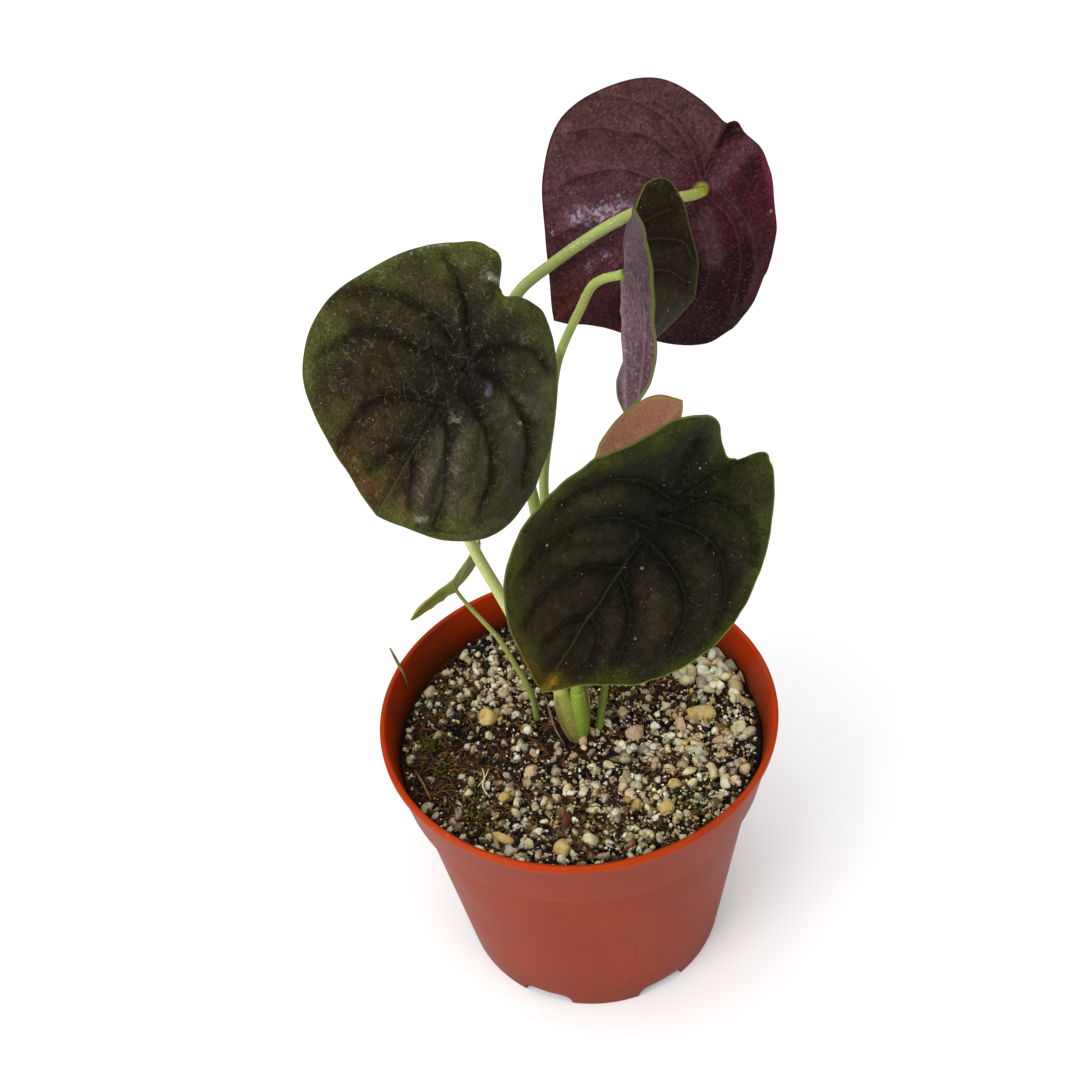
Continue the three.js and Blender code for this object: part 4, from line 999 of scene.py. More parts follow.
def make_pumice(finish):
    """Large lumps where the photograph shows them, then medium pieces and fine grit,
    a patch left of the stems and a heap at the back right."""
    random = np.random.default_rng(11)
    x, y, breadth = np.array([p[:3] for p in LARGE_PUMICE]).T
    tone = palette(PUMICE_TONES[p[3]] for p in LARGE_PUMICE) * random.uniform(0.8, 1.05, (len(x), 1))
    make_grains("pumice_lumps", finish, on_mix(x, y, 0.12 * breadth), breadth * 1.22, tone, random,
                rows=13, columns=22, angular=0.85)

    def sow(name, place, breadths, rise, weights, spread, rows, columns, **shape):
        """Random grains at places, each a little lighter or darker than its tone. They
        rise by a random height in a range, or else by a share of their breadth."""
        x, y = place
        size = random.uniform(*breadths, len(x))
        lift = random.uniform(*rise, len(x)) if isinstance(rise, tuple) else rise * size
        tone = picked(random, len(x), PUMICE_TONES.values(), weights)
        tone = tone * random.uniform(1 - 2 * spread, 1 + spread, (len(x), 1))
        make_grains(name, finish, on_mix(x, y, lift), size, tone, random, rows, columns, **shape)

    sow("pumice_pieces", scattered(random, 680, pumice_density), breadths=(1.8, 4.0), rise=0.1,
        weights=(5, 5, 2, 4, 1, 4, 2), spread=0.2, rows=6, columns=10)
    sow("pumice_grit", scattered(random, 4000, lambda x, y: pumice_density(x, y) ** 0.8), breadths=(0.5, 1.7),
        rise=(0.0, 0.55), weights=(4, 6, 1.5, 4, 1, 4, 3), spread=0.25, rows=3, columns=6)
    sow("pumice_patch", (random.normal(-25, 5, 60), random.normal(22, 6.5, 60)), breadths=(1.6, 3.4),
        rise=(0.2, 1.0), weights=(4, 6, 4, 2, 0.5, 2, 0.5), spread=0.15, rows=6, columns=10)
    x, y = random.uniform(28, 53, 300), random.uniform(8, 42, 300)
    keep = (np.hypot(x, y) < 52.5) & (y > 52 - x)
    sow("pumice_heap", (x[keep][:64], y[keep][:64]), breadths=(2.6, 5.6), rise=(0.6, 2.6),
        weights=(4, 6, 1, 3, 0.5, 6, 1), spread=0.15, rows=8, columns=12, angular=0.65, squash=(1, 0.88, 0.72))


def make_bark(finish):
    """Flat dark chips and crumbs of bark and peat among the pumice, with one
    red-brown lump and two orange-brown flakes near the front."""
    random = np.random.default_rng(23)
    x, y = scattered(random, 1900, lambda x, y: 1.05 - 0.6 * pumice_density(x, y))
    size = random.uniform(1.2, 4.6, len(x)) * random.uniform(0.6, 1, len(x))
    tone = picked(random, len(x), (0x1B1511, 0x2A1F17, 0x3E2C1C, 0x54391F, 0x5E3B1E, 0x14120F),
                  (0.24, 0.24, 0.2, 0.13, 0.07, 0.12))
    places = on_mix(x, y, random.uniform(-0.2, 0.6, len(x)))
    single = ((-6, -34, MIX_LEVEL + 0.8), (11, -45, MIX_LEVEL + 0.9), (-3, -42.5, MIX_LEVEL + 0.7))
    places = np.concatenate([places, single])
    size = np.concatenate([size, (7.0, 5.5, 4.2)])
    tone = np.concatenate([tone, palette((0x5A2E1A, 0x8A5024, 0x6A4424))])
    make_grains("bark_crumbs", finish, places, size, tone, random, rows=4, columns=7,
                squash=(1, 0.55, 0.3), angular=0.8)


def make_strands(name, finish, x, y, tone, headings, lengths, radii, random, steps=7, wander=0.5, rise=0.0):
    """Thin bent strands on the mix. Each heading turns by a smooth random wander
    along the strand, the path is the running sum of the headings kept inside the
    pot, and a ring of points is carried along it and drawn in at both ends."""
    count, sides = len(x), 3
    along = np.linspace(0, 1, steps)
    bend = random.normal(size=(count, 3, 1)) * wander
    turn = headings[:, None] + bend[:, 0] * along * 2 + bend[:, 1] * np.sin(along * 5 + bend[:, 2] * 6)
    step = (lengths / (steps - 1))[:, None]
    x = x[:, None] + np.cumsum(np.cos(turn) * step, 1)
    y = y[:, None] + np.cumsum(np.sin(turn) * step, 1)
    inside = np.minimum(1, STRAND_REACH / np.maximum(np.hypot(x, y), 1))
    x, y = x * inside, y * inside
    arch = np.sin(along * math.pi) * lengths[:, None] * 0.06 + rise * along * lengths[:, None]
    z = mix_height(x, y) + 0.3 + arch + random.uniform(0.0, 1.1, (count, 1))
    around = np.linspace(0, TURN, sides, endpoint=False)
    thick = radii[:, None] * np.maximum(np.sin(np.clip(along, 0.04, 0.96) * math.pi) ** 0.4, 0.25)
    side = np.stack([-np.sin(turn), np.cos(turn), 0 * turn], -1)
    path = np.stack([x, y, z], -1)
    ring = side[:, :, None] * np.cos(around)[:, None] + np.array([0, 0, 1]) * np.sin(around)[:, None]
    body = path[:, :, None] + ring * thick[:, :, None, None]
    points = np.concatenate([body.reshape(count, -1, 3), path[:, [0, -1]]], 1)
    each = points.shape[1]
    piece(name, points.reshape(-1, 3), repeated(capped(steps, sides, True), count, each), [finish], "",
          "potting_mix", tint=np.repeat(tone, each, 0))


def make_fibres(finish):
    """Brown coir and bark fibres all over the mix, matted in a few clumps."""
    random = np.random.default_rng(31)
    spread = scattered(random, 1000, lambda x, y: 1.0 - 0.6 * pumice_density(x, y), 50)
    clumps = clumped(random, ((-40, -8, 7, 110), (-12, 0, 5, 70), (5, -24, 4, 60), (20, -15, 4, 60),
                              (-5, -38, 5, 70), (-34, -28, 6, 80), (-45, 14, 4, 60), (12, 14, 6, 60)))
    x, y = np.concatenate([spread, clumps], 1)
    keep = (np.hypot(x, y) < 51) & (from_stems(x, y) > 5)
    count = keep.sum()
    tone = picked(random, count, (0x3A2413, 0x5A3A1E, 0x7A5028, 0x2A1D14, 0x7A6840, 0x96581E),
                  (0.24, 0.23, 0.14, 0.18, 0.11, 0.1))
    lengths = random.uniform(2, 8, count) * random.uniform(0.6, 1.4, count)
    make_strands("bark_fibres", finish, x[keep], y[keep], tone, random.uniform(0, TURN, count), lengths,
                 random.uniform(0.06, 0.17, count), random, wander=0.7)


def make_moss(finish):
    """Short green and olive strands in tufts at the left edge and lower left."""
    random = np.random.default_rng(37)
    x, y = clumped(random, ((-49, -2, 3.2, 130), (-33, -27, 5.5, 90), (-43, 22, 5, 60), (10, -40, 4, 40),
                            (-24, 34, 5, 40), (33, -31, 3, 30), (-38, -14, 6, 60), (0, 12, 5, 40)), 0.9)
    keep = np.hypot(x, y) < 51.5
    count = keep.sum()
    tone = picked(random, count, (0x4A4A14, 0x5C5A1C, 0x36380F, 0x6E5E20))
    make_strands("moss_tufts", finish, x[keep], y[keep], tone, random.uniform(0, TURN, count),
                 random.uniform(1.2, 3.4, count), random.uniform(0.1, 0.26, count), random, steps=5, rise=0.35)


# Paths and tubes
def unit(vector):
    """The vector at length 1."""
    vector = np.asarray(vector, float)
    return vector / np.linalg.norm(vector)


def units(vectors):
    """Each of the vectors along the last axis at length 1."""
    return vectors / np.linalg.norm(vectors, axis=-1, keepdims=True)


def smooth_path(points, spacing=1.2):
    """A centripetal Catmull-Rom curve through the points, sampled at even distances,
    and these distances along it."""
    p = np.asarray(points, float)
    p = np.concatenate([[2 * p[0] - p[1]], p, [2 * p[-1] - p[-2]]])
    pieces = []
    u = np.linspace(0, 1, 40, endpoint=False)[:, None]
    for p0, p1, p2, p3 in zip(p, p[1:], p[2:], p[3:]):
        d0, d1, d2 = (max(np.linalg.norm(b - a), 1e-4) ** 0.5 for a, b in ((p0, p1), (p1, p2), (p2, p3)))
        t1 = ((p1 - p0) / d0 - (p2 - p0) / (d0 + d1) + (p2 - p1) / d1) * d1
        t2 = ((p2 - p1) / d1 - (p3 - p1) / (d1 + d2) + (p3 - p2) / d2) * d1
        pieces.append(p1 + t1 * u + (-3 * p1 + 3 * p2 - 2 * t1 - t2) * u ** 2
                      + (2 * p1 - 2 * p2 + t1 + t2) * u ** 3)
    fine = np.concatenate(pieces + [p[-2][None]])
    run = np.concatenate([[0], np.cumsum(np.linalg.norm(np.diff(fine, axis=0), axis=1))])
    even = np.linspace(0, run[-1], max(int(run[-1] / spacing), 8) + 1)
    return np.stack([np.interp(even, run, column) for column in fine.T], -1), even


def tube(path, radius, sides, ripple=0.0, ripples=0):
    """A ring of points carried along a path, its faces, and each point's share of
    the way round. The ring's first axis is the normal of the plane that fits the
    path best, made perpendicular to the path's heading."""
    heading = units(np.gradient(path, axis=0))
    flat = np.linalg.svd(path - path.mean(0))[2][2]
    first = units(flat - heading * (heading @ flat)[:, None])
    second = np.cross(heading, first)
    around = np.linspace(0, TURN, sides, endpoint=False)
    ring = 1 + ripple * np.cos(around * ripples)
    spread = first[:, None] * (np.cos(around) * ring)[:, None] + second[:, None] * (np.sin(around) * ring)[:, None]
    body = path[:, None] + spread * np.asarray(radius)[:, None, None]
    points = np.concatenate([body.reshape(-1, 3), path[[0, -1]]])
    turns = np.broadcast_to(around / TURN, (len(path), sides)).ravel()
    return points, capped(len(path), sides), np.concatenate([turns, [0, 0]])


def along_tube(run, sides):
    """A value for each ring of a tube, given to its points and to its two end points."""
    return np.concatenate([np.repeat(run, sides, 0), run[[0, -1]]])


def joined(shapes):
    """The points and the faces of several shapes as one, where each is a pair of them."""
    faces, total = [], 0
    for points, part in shapes:
        faces += [f + total for f in part]
        total += len(points)
    return np.concatenate([points for points, _ in shapes]), faces


# Blades
def blade_axes(leaf):
    """Across, towards the tip and out of the upper side, as rows."""
    along = unit(leaf["tip_way"])
    up = np.asarray(leaf["up_way"], float)
    up = unit(up - along * (up @ along))
    return np.stack([np.cross(along, up), along, up])


def margin_curve(leaf, bearings):
    """The margin's reach at each bearing: a smooth curve through the given reaches,
    with a level start at the notch."""
    back = 180 + leaf["notch_turn"]
    shares = np.array(BEARING_SHARES)
    at = np.concatenate([[0], shares * back, [back], (360 - shares * (360 - back))[::-1], [360]])
    reach = np.concatenate([[leaf["tip"]], leaf["right"], [leaf["notch"]], leaf["left"][::-1], [leaf["tip"]]])
    gap = np.diff(at)
    rate = np.diff(reach) / gap
    between = (rate[:-1] * gap[1:] + rate[1:] * gap[:-1]) / (gap[1:] + gap[:-1])
    slope = np.concatenate([[rate[0]], between, [rate[-1]]])
    slope[at == back] = 0
    i = np.clip(np.searchsorted(at, bearings, side="right") - 1, 0, len(at) - 2)
    u = (bearings - at[i]) / gap[i]
    return ((2 * u ** 3 - 3 * u ** 2 + 1) * reach[i] + (u ** 3 - 2 * u ** 2 + u) * gap[i] * slope[i]
            + (3 * u ** 2 - 2 * u ** 3) * reach[i + 1] + (u ** 3 - u ** 2) * gap[i] * slope[i + 1])


def bend_blade(leaf, x, y):
    """The blade's middle surface: the midrib is an arc that bends from the upper
    side, each half leaves it at its fold and curls on, and the section turns."""
    tipwards, right = y > 0, x > 0
    bend = np.where(tipwards, leaf["bend"][0] or STRAIGHT, leaf["bend"][1] or STRAIGHT)
    angle = bend * y
    fold = np.where(right, leaf["fold"][1], leaf["fold"][0])
    curl = np.where(right, leaf["curl"][1] or STRAIGHT, leaf["curl"][0] or STRAIGHT)
    end = fold + curl * np.abs(x)
    out = np.sign(x) * (np.sin(end) - np.sin(fold)) / curl
    rise = (np.cos(fold) - np.cos(end)) / curl
    turn = np.where(tipwards, leaf["twist"][0], leaf["twist"][1]) * y
    lift = out * np.sin(turn) + rise * np.cos(turn)
    return np.stack([out * np.cos(turn) - rise * np.sin(turn), np.sin(angle) / bend + lift * np.sin(angle),
                     (np.cos(angle) - 1) / bend + lift * np.cos(angle)], -1)


def blade_normals(leaf, x, y, step=0.4):
    """Normals of the middle surface from its slopes over a short step."""
    across = bend_blade(leaf, x + step, y) - bend_blade(leaf, x - step, y)
    along = bend_blade(leaf, x, y + step) - bend_blade(leaf, x, y - step)
    return units(np.cross(across, along))


def vein_lines(leaf):
    """The side veins as short segments in the blade's flat coordinates, with the
    share of the way along each: smooth curves through the leaf's own points, or,
    where it names none, quadratic curves that leave the midrib and sweep tipwards."""
    lines = [smooth_path(points, 0.8)[0] for points in leaf.get("veins", ())]
    u = np.linspace(0, 1, 22)[:, None]
    back = 180 + leaf["notch_turn"]
    for side in (() if lines else (1, -1)):
        for rise, bearing in PLAIN_VEINS:
            room = back if side > 0 else 360 - back
            turned = side * bearing * (room / 180 if bearing > 100 else 1) % 360
            reach = margin_curve(leaf, np.array([turned]))[0] * 0.95
            start = np.array([0, rise * leaf["tip"]])
            end = reach * np.array([math.sin(math.radians(turned)), math.cos(math.radians(turned))])
            pull = np.array([0.72 * end[0], start[1] + 0.14 * (end[1] - start[1])])
            lines.append((1 - u) ** 2 * start + 2 * u * (1 - u) * pull + u ** 2 * end)
    segments = np.concatenate([np.stack([line[:-1], line[1:]], 1) for line in lines])
    return segments, np.concatenate([np.linspace(0, 1, len(line) - 1) for line in lines])


def nearest(x, y, segments, shares):
    """For each point the distance to the nearest segment, the same distance with a
    sign for the side of the segment that the point lies on, and the share along."""
    points = np.stack([x, y], -1).astype(np.float32)
    a = segments[:, 0].astype(np.float32)
    run = (segments[:, 1] - segments[:, 0]).astype(np.float32)
    length = (run ** 2).sum(1)
    found = []
    for part in np.array_split(points, len(points) // 4000 + 1):
        offset = part[:, None] - a
        along = np.clip((offset * run).sum(2) / length, 0, 1)
        away = ((offset - along[..., None] * run) ** 2).sum(2)
        pick = away.argmin(1)
        row = np.arange(len(part))
        way, spread = run[pick], offset[row, pick]
        distance = np.sqrt(away[row, pick])
        side = np.sign(way[:, 0] * spread[:, 1] - way[:, 1] * spread[:, 0])
        found.append(np.stack([distance, distance * side, shares[pick]]))
    return np.concatenate(found, 1)


def bordered(colour, border, edge, x, y):
    """The colours turning to the border's tone towards the margin, at an uneven
    distance from it: the reach is waved by sines of the place."""
    tone, reach, strength = border
    uneven = edge + 0.22 * reach * (np.sin(0.23 * x + 0.31 * y) + np.sin(0.41 * x - 0.17 * y + 1))
    share = strength * (1 - np.clip(uneven / reach, 0, 1))[:, None] ** 1.3
    return colour * (1 - share) + linear(tone) * share


def wetness(spots, x, y):
    """The sum of bell curves about the wet places, at most 1."""
    return np.minimum(sum((spot(x, y, s, s[2]) for s in spots), 0 * x), 1)


def blended(tones, x, y):
    """The mean of the broad tones, each weighed by a bell curve about its place."""
    weight = np.stack([spot(x, y, t, t[2]) + 1e-5 for t in tones], -1)
    return (weight @ palette(t[3] for t in tones)) / weight.sum(-1, keepdims=True)


def marked(colour, marks, x, y):
    """The colours with marks painted over them. A mark's share is its strength times
    exp(-d^4), where d is the distance to its line over its half width, made ragged."""
    ragged = 1 + 0.08 * np.sin(1.7 * x + 0.6 * y) + 0.08 * np.sin(2.3 * y - 0.9 * x)
    for x0, y0, x1, y1, half_width, tone, strength in marks:
        run = np.array([x1 - x0, y1 - y0])
        along = np.clip(((x - x0) * run[0] + (y - y0) * run[1]) / (run @ run), 0, 1)
        away = np.hypot(x - x0 - along * run[0], y - y0 - along * run[1]) * ragged
        share = (strength * np.exp(-(away / half_width) ** 4))[:, None]
        colour = colour * (1 - share) + linear(tone) * share
    return colour


def blade_sheet(leaf, around, rings, random):
    """Everything about a blade on its polar grid of bearings and shares of the reach.
    Between the veins it swells into pillows, over which lie long low ripples."""
    back = 180 + leaf["notch_turn"]
    share_round = np.arange(around) / around
    off = np.abs(2 * share_round - 1)
    eased = 0.45 * off + 0.55 * off ** 2 * (3 - 2 * off)
    bearing = np.where(share_round <= 0.5, back * (1 - eased), back + (360 - back) * eased)
    reach = margin_curve(leaf, bearing)
    share = ((np.arange(1, rings + 1) / rings) ** 0.9)[:, None] + 0 * bearing
    bearing = bearing[None] + 0 * share
    x = np.append((share * reach * np.sin(np.radians(bearing))).ravel(), 1e-4)
    y = np.append((share * reach * np.cos(np.radians(bearing))).ravel(), 0.0)
    edge = np.append(((1 - share) * reach).ravel(), reach.min())
    share = np.append(share.ravel(), 0)
    bearing = np.append(bearing.ravel(), back)
    away, across, run = nearest(x, y, *vein_lines(leaf))
    rib = np.hypot(x, np.minimum(y, 0) * 1.5)
    hub = np.hypot(x, y)
    size = leaf["tip"] / 50
    pillow = 1 - np.exp(-np.minimum(away, rib * 1.2) / (2.4 * size))
    fade = np.clip(1 - share ** 6, 0, 1) * hub ** 2 / (hub ** 2 + 20)
    quilt = leaf.get("quilt", 1.5) * size * (pillow - 0.6) * fade
    turned = bearing - back
    lap = -leaf["lap"] * share * np.sign(turned) * np.exp(-np.abs(turned) / 40)
    wave = 0.012 * leaf["tip"] * share ** 4 * np.sin(np.radians(bearing * 5))
    ripple = 0.3 * size * lumps(x, y, random, count=9, longest=13, shortest=4.5) * hub / (hub + 6)
    return dict(x=x, y=y, share=share, shift=quilt + lap + wave + ripple, away=away, across=across, edge=edge,
                hub=hub, vein=np.exp(-(away / 0.85) ** 2) * (1 - 0.6 * run),
                rib=np.exp(-(rib / (0.85 - 0.35 * y / leaf["tip"])) ** 2))


def make_blade(name, upper_material, under_material, around, rings):
    """Two faces on one polar grid, half a thickness to either side of the quilted
    middle surface, thinned at the margin and joined round it. The under side has
    its veins raised, and the upper side has them sunk. The result is the blade's
    skin: its flat coordinates, and in space the points of both sides and the
    directions out of the upper side."""
    leaf = LEAVES[name]
    s = blade_sheet(leaf, around, rings, np.random.default_rng(60 + list(LEAVES).index(name)))
    x, y = s["x"], s["y"]
    middle = bend_blade(leaf, x, y)
    normal = blade_normals(leaf, x, y)
    inwards = np.clip(1 - s["share"], 0, 1) ** 0.5
    thick = BLADE_THICKNESS / 2 * (1 - 0.55 * np.clip((s["share"] - 0.9) / 0.1, 0, 1) ** 2)
    groove = (0.2 * s["rib"] + 0.22 * s["vein"]) * inwards
    ridge = (0.36 * s["vein"] + 0.5 * s["rib"]) * inwards
    upper = middle + normal * (s["shift"] + thick - groove)[:, None]
    lower = middle + normal * (s["shift"] - thick - ridge)[:, None]
    axes = blade_axes(leaf)
    points = np.concatenate([upper, lower]) @ axes + np.array(leaf["attach"])
    count = len(middle)
    outer = (rings - 1) * around + np.arange(around)
    after = np.roll(outer, -1)
    top = [f[:, ::-1] for f in (grid_quads(rings, around), fan(count - 1, np.arange(around)))]
    under = [f[:, ::-1] + count for f in top]
    edge = np.stack([outer, after, after + count, outer + count], -1)
    kinds = [np.zeros(len(f)) for f in top] + [np.ones(len(f)) for f in (*under, edge)]
    over = bordered(blended(UPPER_TONES[name], x, y), BORDERS[name], s["edge"], x, y)
    tint = np.concatenate([marked(over, UPPER_MARKS.get(name, ()), x, y),
                           marked(blended(UNDER_TONES[name], x, y), UNDER_MARKS.get(name, ()), x, y)])
    both = {key: np.tile(s[key], 2) for key in ("away", "across", "edge", "hub")}
    both["wet"] = np.concatenate([wetness(WET.get((name, side), ()), x, y) for side in ("upper", "under")])
    flat = np.stack([x, y], -1)
    piece(f"{name}_sheet", points, top + under + [edge], [upper_material, under_material], f"{name}_blade", name,
          material_of=kinds, uv=np.tile(flat, (2, 1)), traits=both, tint=tint)
    return dict(flat=flat, upper=points[:count], under=points[count:], out=normal @ axes)


# Stalks
def stalk_path(leaf):
    """The stalk's path from its foot to the blade's under side, which it meets square:
    a curve through its points whose bends are eased by taking, eight times over,
    the mean of each place and its neighbours."""
    up = blade_axes(leaf)[2]
    droop = max(0, -leaf["fold"][0], -leaf["fold"][1]) * leaf["top_radius"]
    seat = np.array(leaf["attach"]) - up * (BLADE_THICKNESS / 2 + droop)
    points = [np.array(p, float) for p in leaf["stalk"]]
    if "sheath" in leaf:
        points.insert(1, points[0] + unit(points[0] - CROWN) * SHEATH_LEAD)
    neck = seat - up * leaf["top_radius"] + unit(points[-1] - seat) * 0.8
    path, run = smooth_path([*points, neck, seat])
    for _ in range(8):
        path[2:-2] = (path[1:-3] + 2 * path[2:-2] + path[3:-1]) / 4
    return path, run


def stalk_radius(leaf, share):
    """The stalk's radius at a share of its length, without the flare at its top."""
    return leaf["foot_radius"] + (leaf["top_radius"] - leaf["foot_radius"]) * share


def make_stalk(name, finish):
    """A tube that tapers from foot to top and flares a little where it meets the
    blade, with low lengthwise ribs. Its tone runs from foot to top by the share of
    the length, and turns to the neck's within a few millimetres of the blade."""
    leaf = LEAVES[name]
    path, run = stalk_path(leaf)
    share = run / run[-1]
    radius = stalk_radius(leaf, share) * (1 + leaf.get("flare", 0.2) * np.exp(-(run[-1] - run) / 1.2))
    points, faces, turns = tube(path, radius, STALK_SIDES, ripple=0.02, ripples=7)
    foot, top = palette(STALK_TONES[name])
    neck = linear(leaf.get("neck_tone", STALK_TONES[name][1]))
    near_blade = np.exp(-((run[-1] - run) / 7) ** 2)[:, None]
    tint = (foot * (1 - share[:, None]) + top * share[:, None]) * (1 - near_blade) + neck * near_blade
    piece(f"{name}_petiole", points, faces, [finish], f"{name}_stalk", "green_stalk",
          uv=np.stack([turns, along_tube(run, STALK_SIDES)], -1), tint=along_tube(tint, STALK_SIDES))


def make_sheaths(finish):
    """A spindle from the crown to each gathered foot, all on one hidden corm."""
    shapes, tints, flats = [], [], []
    for name, tones in SHEATH_TONES.items():
        leaf = LEAVES[name]
        foot = np.array(leaf["stalk"][0], float)
        length = np.linalg.norm(foot - CROWN) + 1.2
        girths = [(share * length, girth * leaf["sheath"]) for share, girth in SHEATH_GIRTHS]
        run, radius = smooth_path(girths + [(length, leaf["foot_radius"] + 0.2)], 0.5)[0].T
        path = CROWN + unit(foot - CROWN) * run[:, None]
        points, faces, turns = tube(path, radius, SHEATH_SIDES, ripple=0.018, ripples=5)
        low, high = palette(tones)
        blend = np.clip((run / length - 0.3) / 0.6, 0, 1)[:, None]
        shapes.append((points, faces))
        tints.append(along_tube(low * (1 - blend) + high * blend, SHEATH_SIDES))
        flats.append(np.stack([turns, along_tube(run, SHEATH_SIDES)], -1))
    ways, faces = pebble_grid(8, 16)
    shapes.append((ways * CORM_RADIUS + CROWN, faces))
    tints.append(np.tile(linear(0x4A3A20), (len(ways), 1)))
    flats.append(np.zeros((len(ways), 2)))
    piece("stem_sheaths", *joined(shapes), [finish], "stem_base", "green_stalk", uv=np.concatenate(flats),
          tint=np.concatenate(tints))


# Dressing
def make_cords(name, finish, cords, slot):
    """One piece of thin tubes through given points, drawn in towards both ends."""
    shapes = []
    for points, radius in cords:
        path, run = smooth_path(points, 0.7)
        thick = radius * (0.35 + 0.65 * np.sin(np.clip(run / run[-1], 0.02, 0.98) * math.pi) ** 0.5)
        shapes.append(tube(path, thick, 8)[:2])
    piece(name, *joined(shapes), [finish], "", slot)


def make_stalk_beads(finish):
    """Tiny drops of damp on the stalks: each at a random place along and round."""
    random = np.random.default_rng(71)
    places, sizes = [], []
    for name, count in (("back_leaf", 620), ("folded_leaf", 420)):
        leaf = LEAVES[name]
        path, run = stalk_path(leaf)
        ring = random.integers(4, len(path) - 3, count)
        radius = stalk_radius(leaf, (run / run[-1])[ring])
        way = random.normal(size=(count, 3)) + (-0.4, -0.4, 0.9)
        heading = units(path[ring + 1] - path[ring])
        way = units(way - heading * (way * heading).sum(1, keepdims=True))
        slide = heading * random.uniform(-0.6, 0.6, (count, 1))
        places.append(path[ring] + slide + way * (radius * 0.99)[:, None])
        sizes.append(random.uniform(0.05, 0.17, count))
    ways, faces = pebble_grid(3, 6)
    points = np.concatenate(places)[:, None] + ways * np.concatenate(sizes)[:, None, None]
    piece("stalk_beads", points.reshape(-1, 3), repeated(faces, len(points), len(ways)), [finish], "",
          "green_stalk")


def make_drops(finish, skins):
    """Flattened beads of water, each seated on the blade's nearest surface point,
    and finer ones scattered about the shiny patch of the back leaf."""
    random = np.random.default_rng(73)
    drops = [(*where, *drop) for where, found in DROPS.items() for drop in found]
    fine = zip(random.normal(24, 7, 40), random.normal(-13, 5, 40), random.uniform(0.12, 0.32, 40))
    drops += [("back_leaf", "under", across, along, radius) for along, across, radius in fine]
    ways, faces = pebble_grid(7, 12)
    points = []
    for name, side, across, along, radius in drops:
        skin = skins[name]
        at = np.hypot(*(skin["flat"] - (across, along)).T).argmin()
        out = skin["out"][at] * (1 if side == "upper" else -1)
        flattened = ways - 0.45 * (ways @ out)[:, None] * out
        points.append(skin[side][at] + out * 0.25 * radius + flattened * radius)
    piece("water_drops", np.concatenate(points), repeated(faces, len(drops), len(ways)), [finish], "",
          "green_stalk")


# Studio
def make_floor():
    """A pale matt floor, wide enough to fill the picture, with a faint grain."""
    f = Finish("pale_floor", roughness=0.9, specular=0.1)
    f.colour(f.mix(f.noise(40, 2), (0.93, 0.93, 0.93, 1), (0.95, 0.95, 0.95, 1)))
    side = np.linspace(-2500, 2500, 5)
    x, y = np.meshgrid(side, side)
    floor = piece("floor", np.stack([x, y, 0 * x - 0.05], -1).reshape(-1, 3),
                  [grid_quads(5, 5, round_columns=False)], [f.material])


def put(made, right, up, back, place):
    """Link an object, with its own three directions and its place in metres."""
    rows = np.column_stack([right, up, back, place]).tolist()
    made.matrix_world = Matrix((*rows, (0, 0, 0, 1)))
    bpy.context.scene.collection.objects.link(made)


def soft_light(name, place, size, power):
    """A square soft box at a place in metres, turned to face the plant."""
    lamp = bpy.data.lights.new(name, "AREA")
    lamp.shape = "SQUARE"
    lamp.size = size
    lamp.energy = power
    back = unit(np.array(place) - np.array(LIGHT_TARGET))
    right = unit(np.cross((0, 0, 1), back))
    put(bpy.data.objects.new(name, lamp), right, np.cross(back, right), back, place)


def make_sky():
    """A very soft light from nearly overhead."""
    lamp = bpy.data.lights.new("sky_light", "SUN")
    lamp.energy = 3.2
    lamp.angle = math.radians(105)
    made = bpy.data.objects.new("sky_light", lamp)
    made.rotation_euler = (math.radians(12), math.radians(-14), 0)
    bpy.context.scene.collection.objects.link(made)


def make_camera():
    """The photograph's viewpoint: the rows are the picture's right, down and forward."""
    right, down, forward = ((0.996088, -0.044185, -0.076533), (-0.086935, -0.645488, -0.758807),
                            (-0.015873, 0.762491, -0.646804))
    lens = bpy.data.cameras.new("viewpoint")
    lens.sensor_width = 36
    lens.lens = 47.65503
    lens.clip_start = 0.01
    camera = bpy.data.objects.new("viewpoint", lens)
    put(camera, right, -np.array(down), -np.array(forward), (0, -0.296176, 0.412691))
    bpy.context.scene.camera = camera


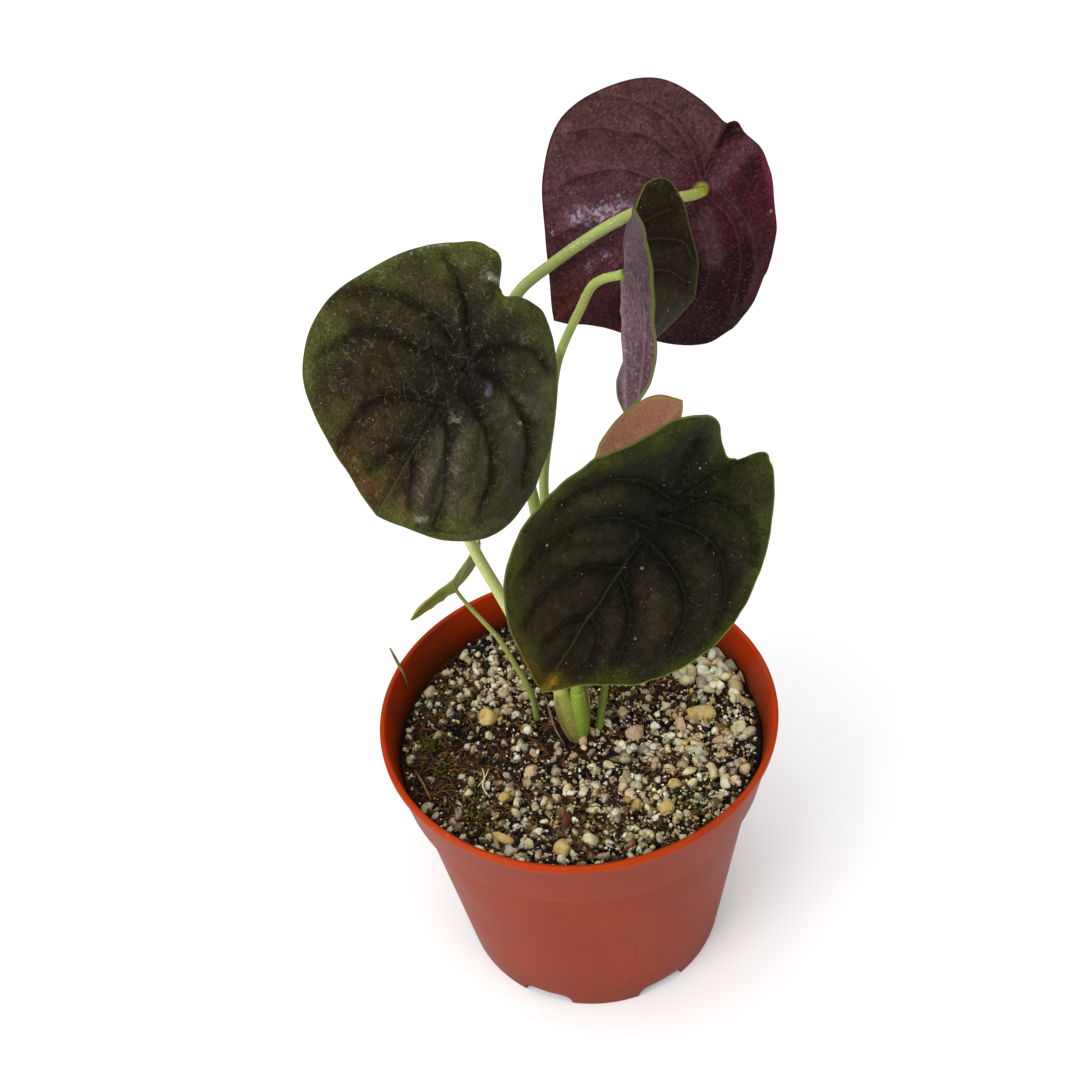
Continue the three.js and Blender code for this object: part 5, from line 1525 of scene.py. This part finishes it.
def make_world():
    """The studio's wall looks as pale as the floor, and lights the part only faintly."""
    world = bpy.data.worlds.new("studio")
    world.use_nodes = True
    tree = world.node_tree
    glow = tree.nodes["Background"]
    glow.inputs["Color"].default_value = (1, 1, 1, 1)
    glow.inputs["Strength"].default_value = 0.13
    wall = tree.nodes.new("ShaderNodeBackground")
    wall.inputs["Color"].default_value = (0.97, 0.97, 0.97, 1)
    seen = tree.nodes.new("ShaderNodeMixShader")
    for number, source in enumerate((tree.nodes.new("ShaderNodeLightPath").outputs["Is Camera Ray"],
                                     glow.outputs[0], wall.outputs[0])):
        tree.links.new(source, seen.inputs[number])
    tree.links.new(seen.outputs[0], tree.nodes["World Output"].inputs["Surface"])
    bpy.context.scene.world = world


# The part
make_pot(pot_finish())
make_bed(peat_finish())
make_pumice(grain_finish("pumice"))
make_bark(grain_finish("bark", dark=0x0E0B08, pale=0x4A3422, specular=0.2, pore=0.15))
thin = dict(roughness=0.8, specular=0.15, pore=0.05)
make_fibres(grain_finish("fibre", mottle=0.2, dark=0x1A120C, pale=0x8A6A3E, **thin))
make_moss(grain_finish("moss", mottle=0.25, dark=0x1E200A, pale=0x7A7A30, **thin))
green_stalk = stalk_finish()
make_sheaths(green_stalk)
skins = {}
for leaf_name, grid in GRIDS.items():
    make_stalk(leaf_name, green_stalk)
    skins[leaf_name] = make_blade(leaf_name, upper_finish(f"{leaf_name}_upper", UPPER_LOOKS[leaf_name]),
                                  under_finish(f"{leaf_name}_under", UNDER_LOOKS[leaf_name]), *grid)
make_drops(water_finish(), skins)
make_stalk_beads(bare_finish("fine_damp", 0xC4CC98, 0xA8B070, roughness=0.25, specular=0.5))
for cords_name, tones_and_gloss, cords, slot_name in CORDS:
    make_cords(cords_name, bare_finish(cords_name, *tones_and_gloss), cords, slot_name)

make_floor()
soft_light("key_light", (-0.9, -0.8, 0.8), size=0.7, power=8)
soft_light("fill_light", (1.0, -0.7, 0.8), size=0.9, power=3)
make_sky()
make_camera()
make_world()
bpy.context.scene.view_settings.view_transform = "Standard"

bpy.context.view_layer.update()
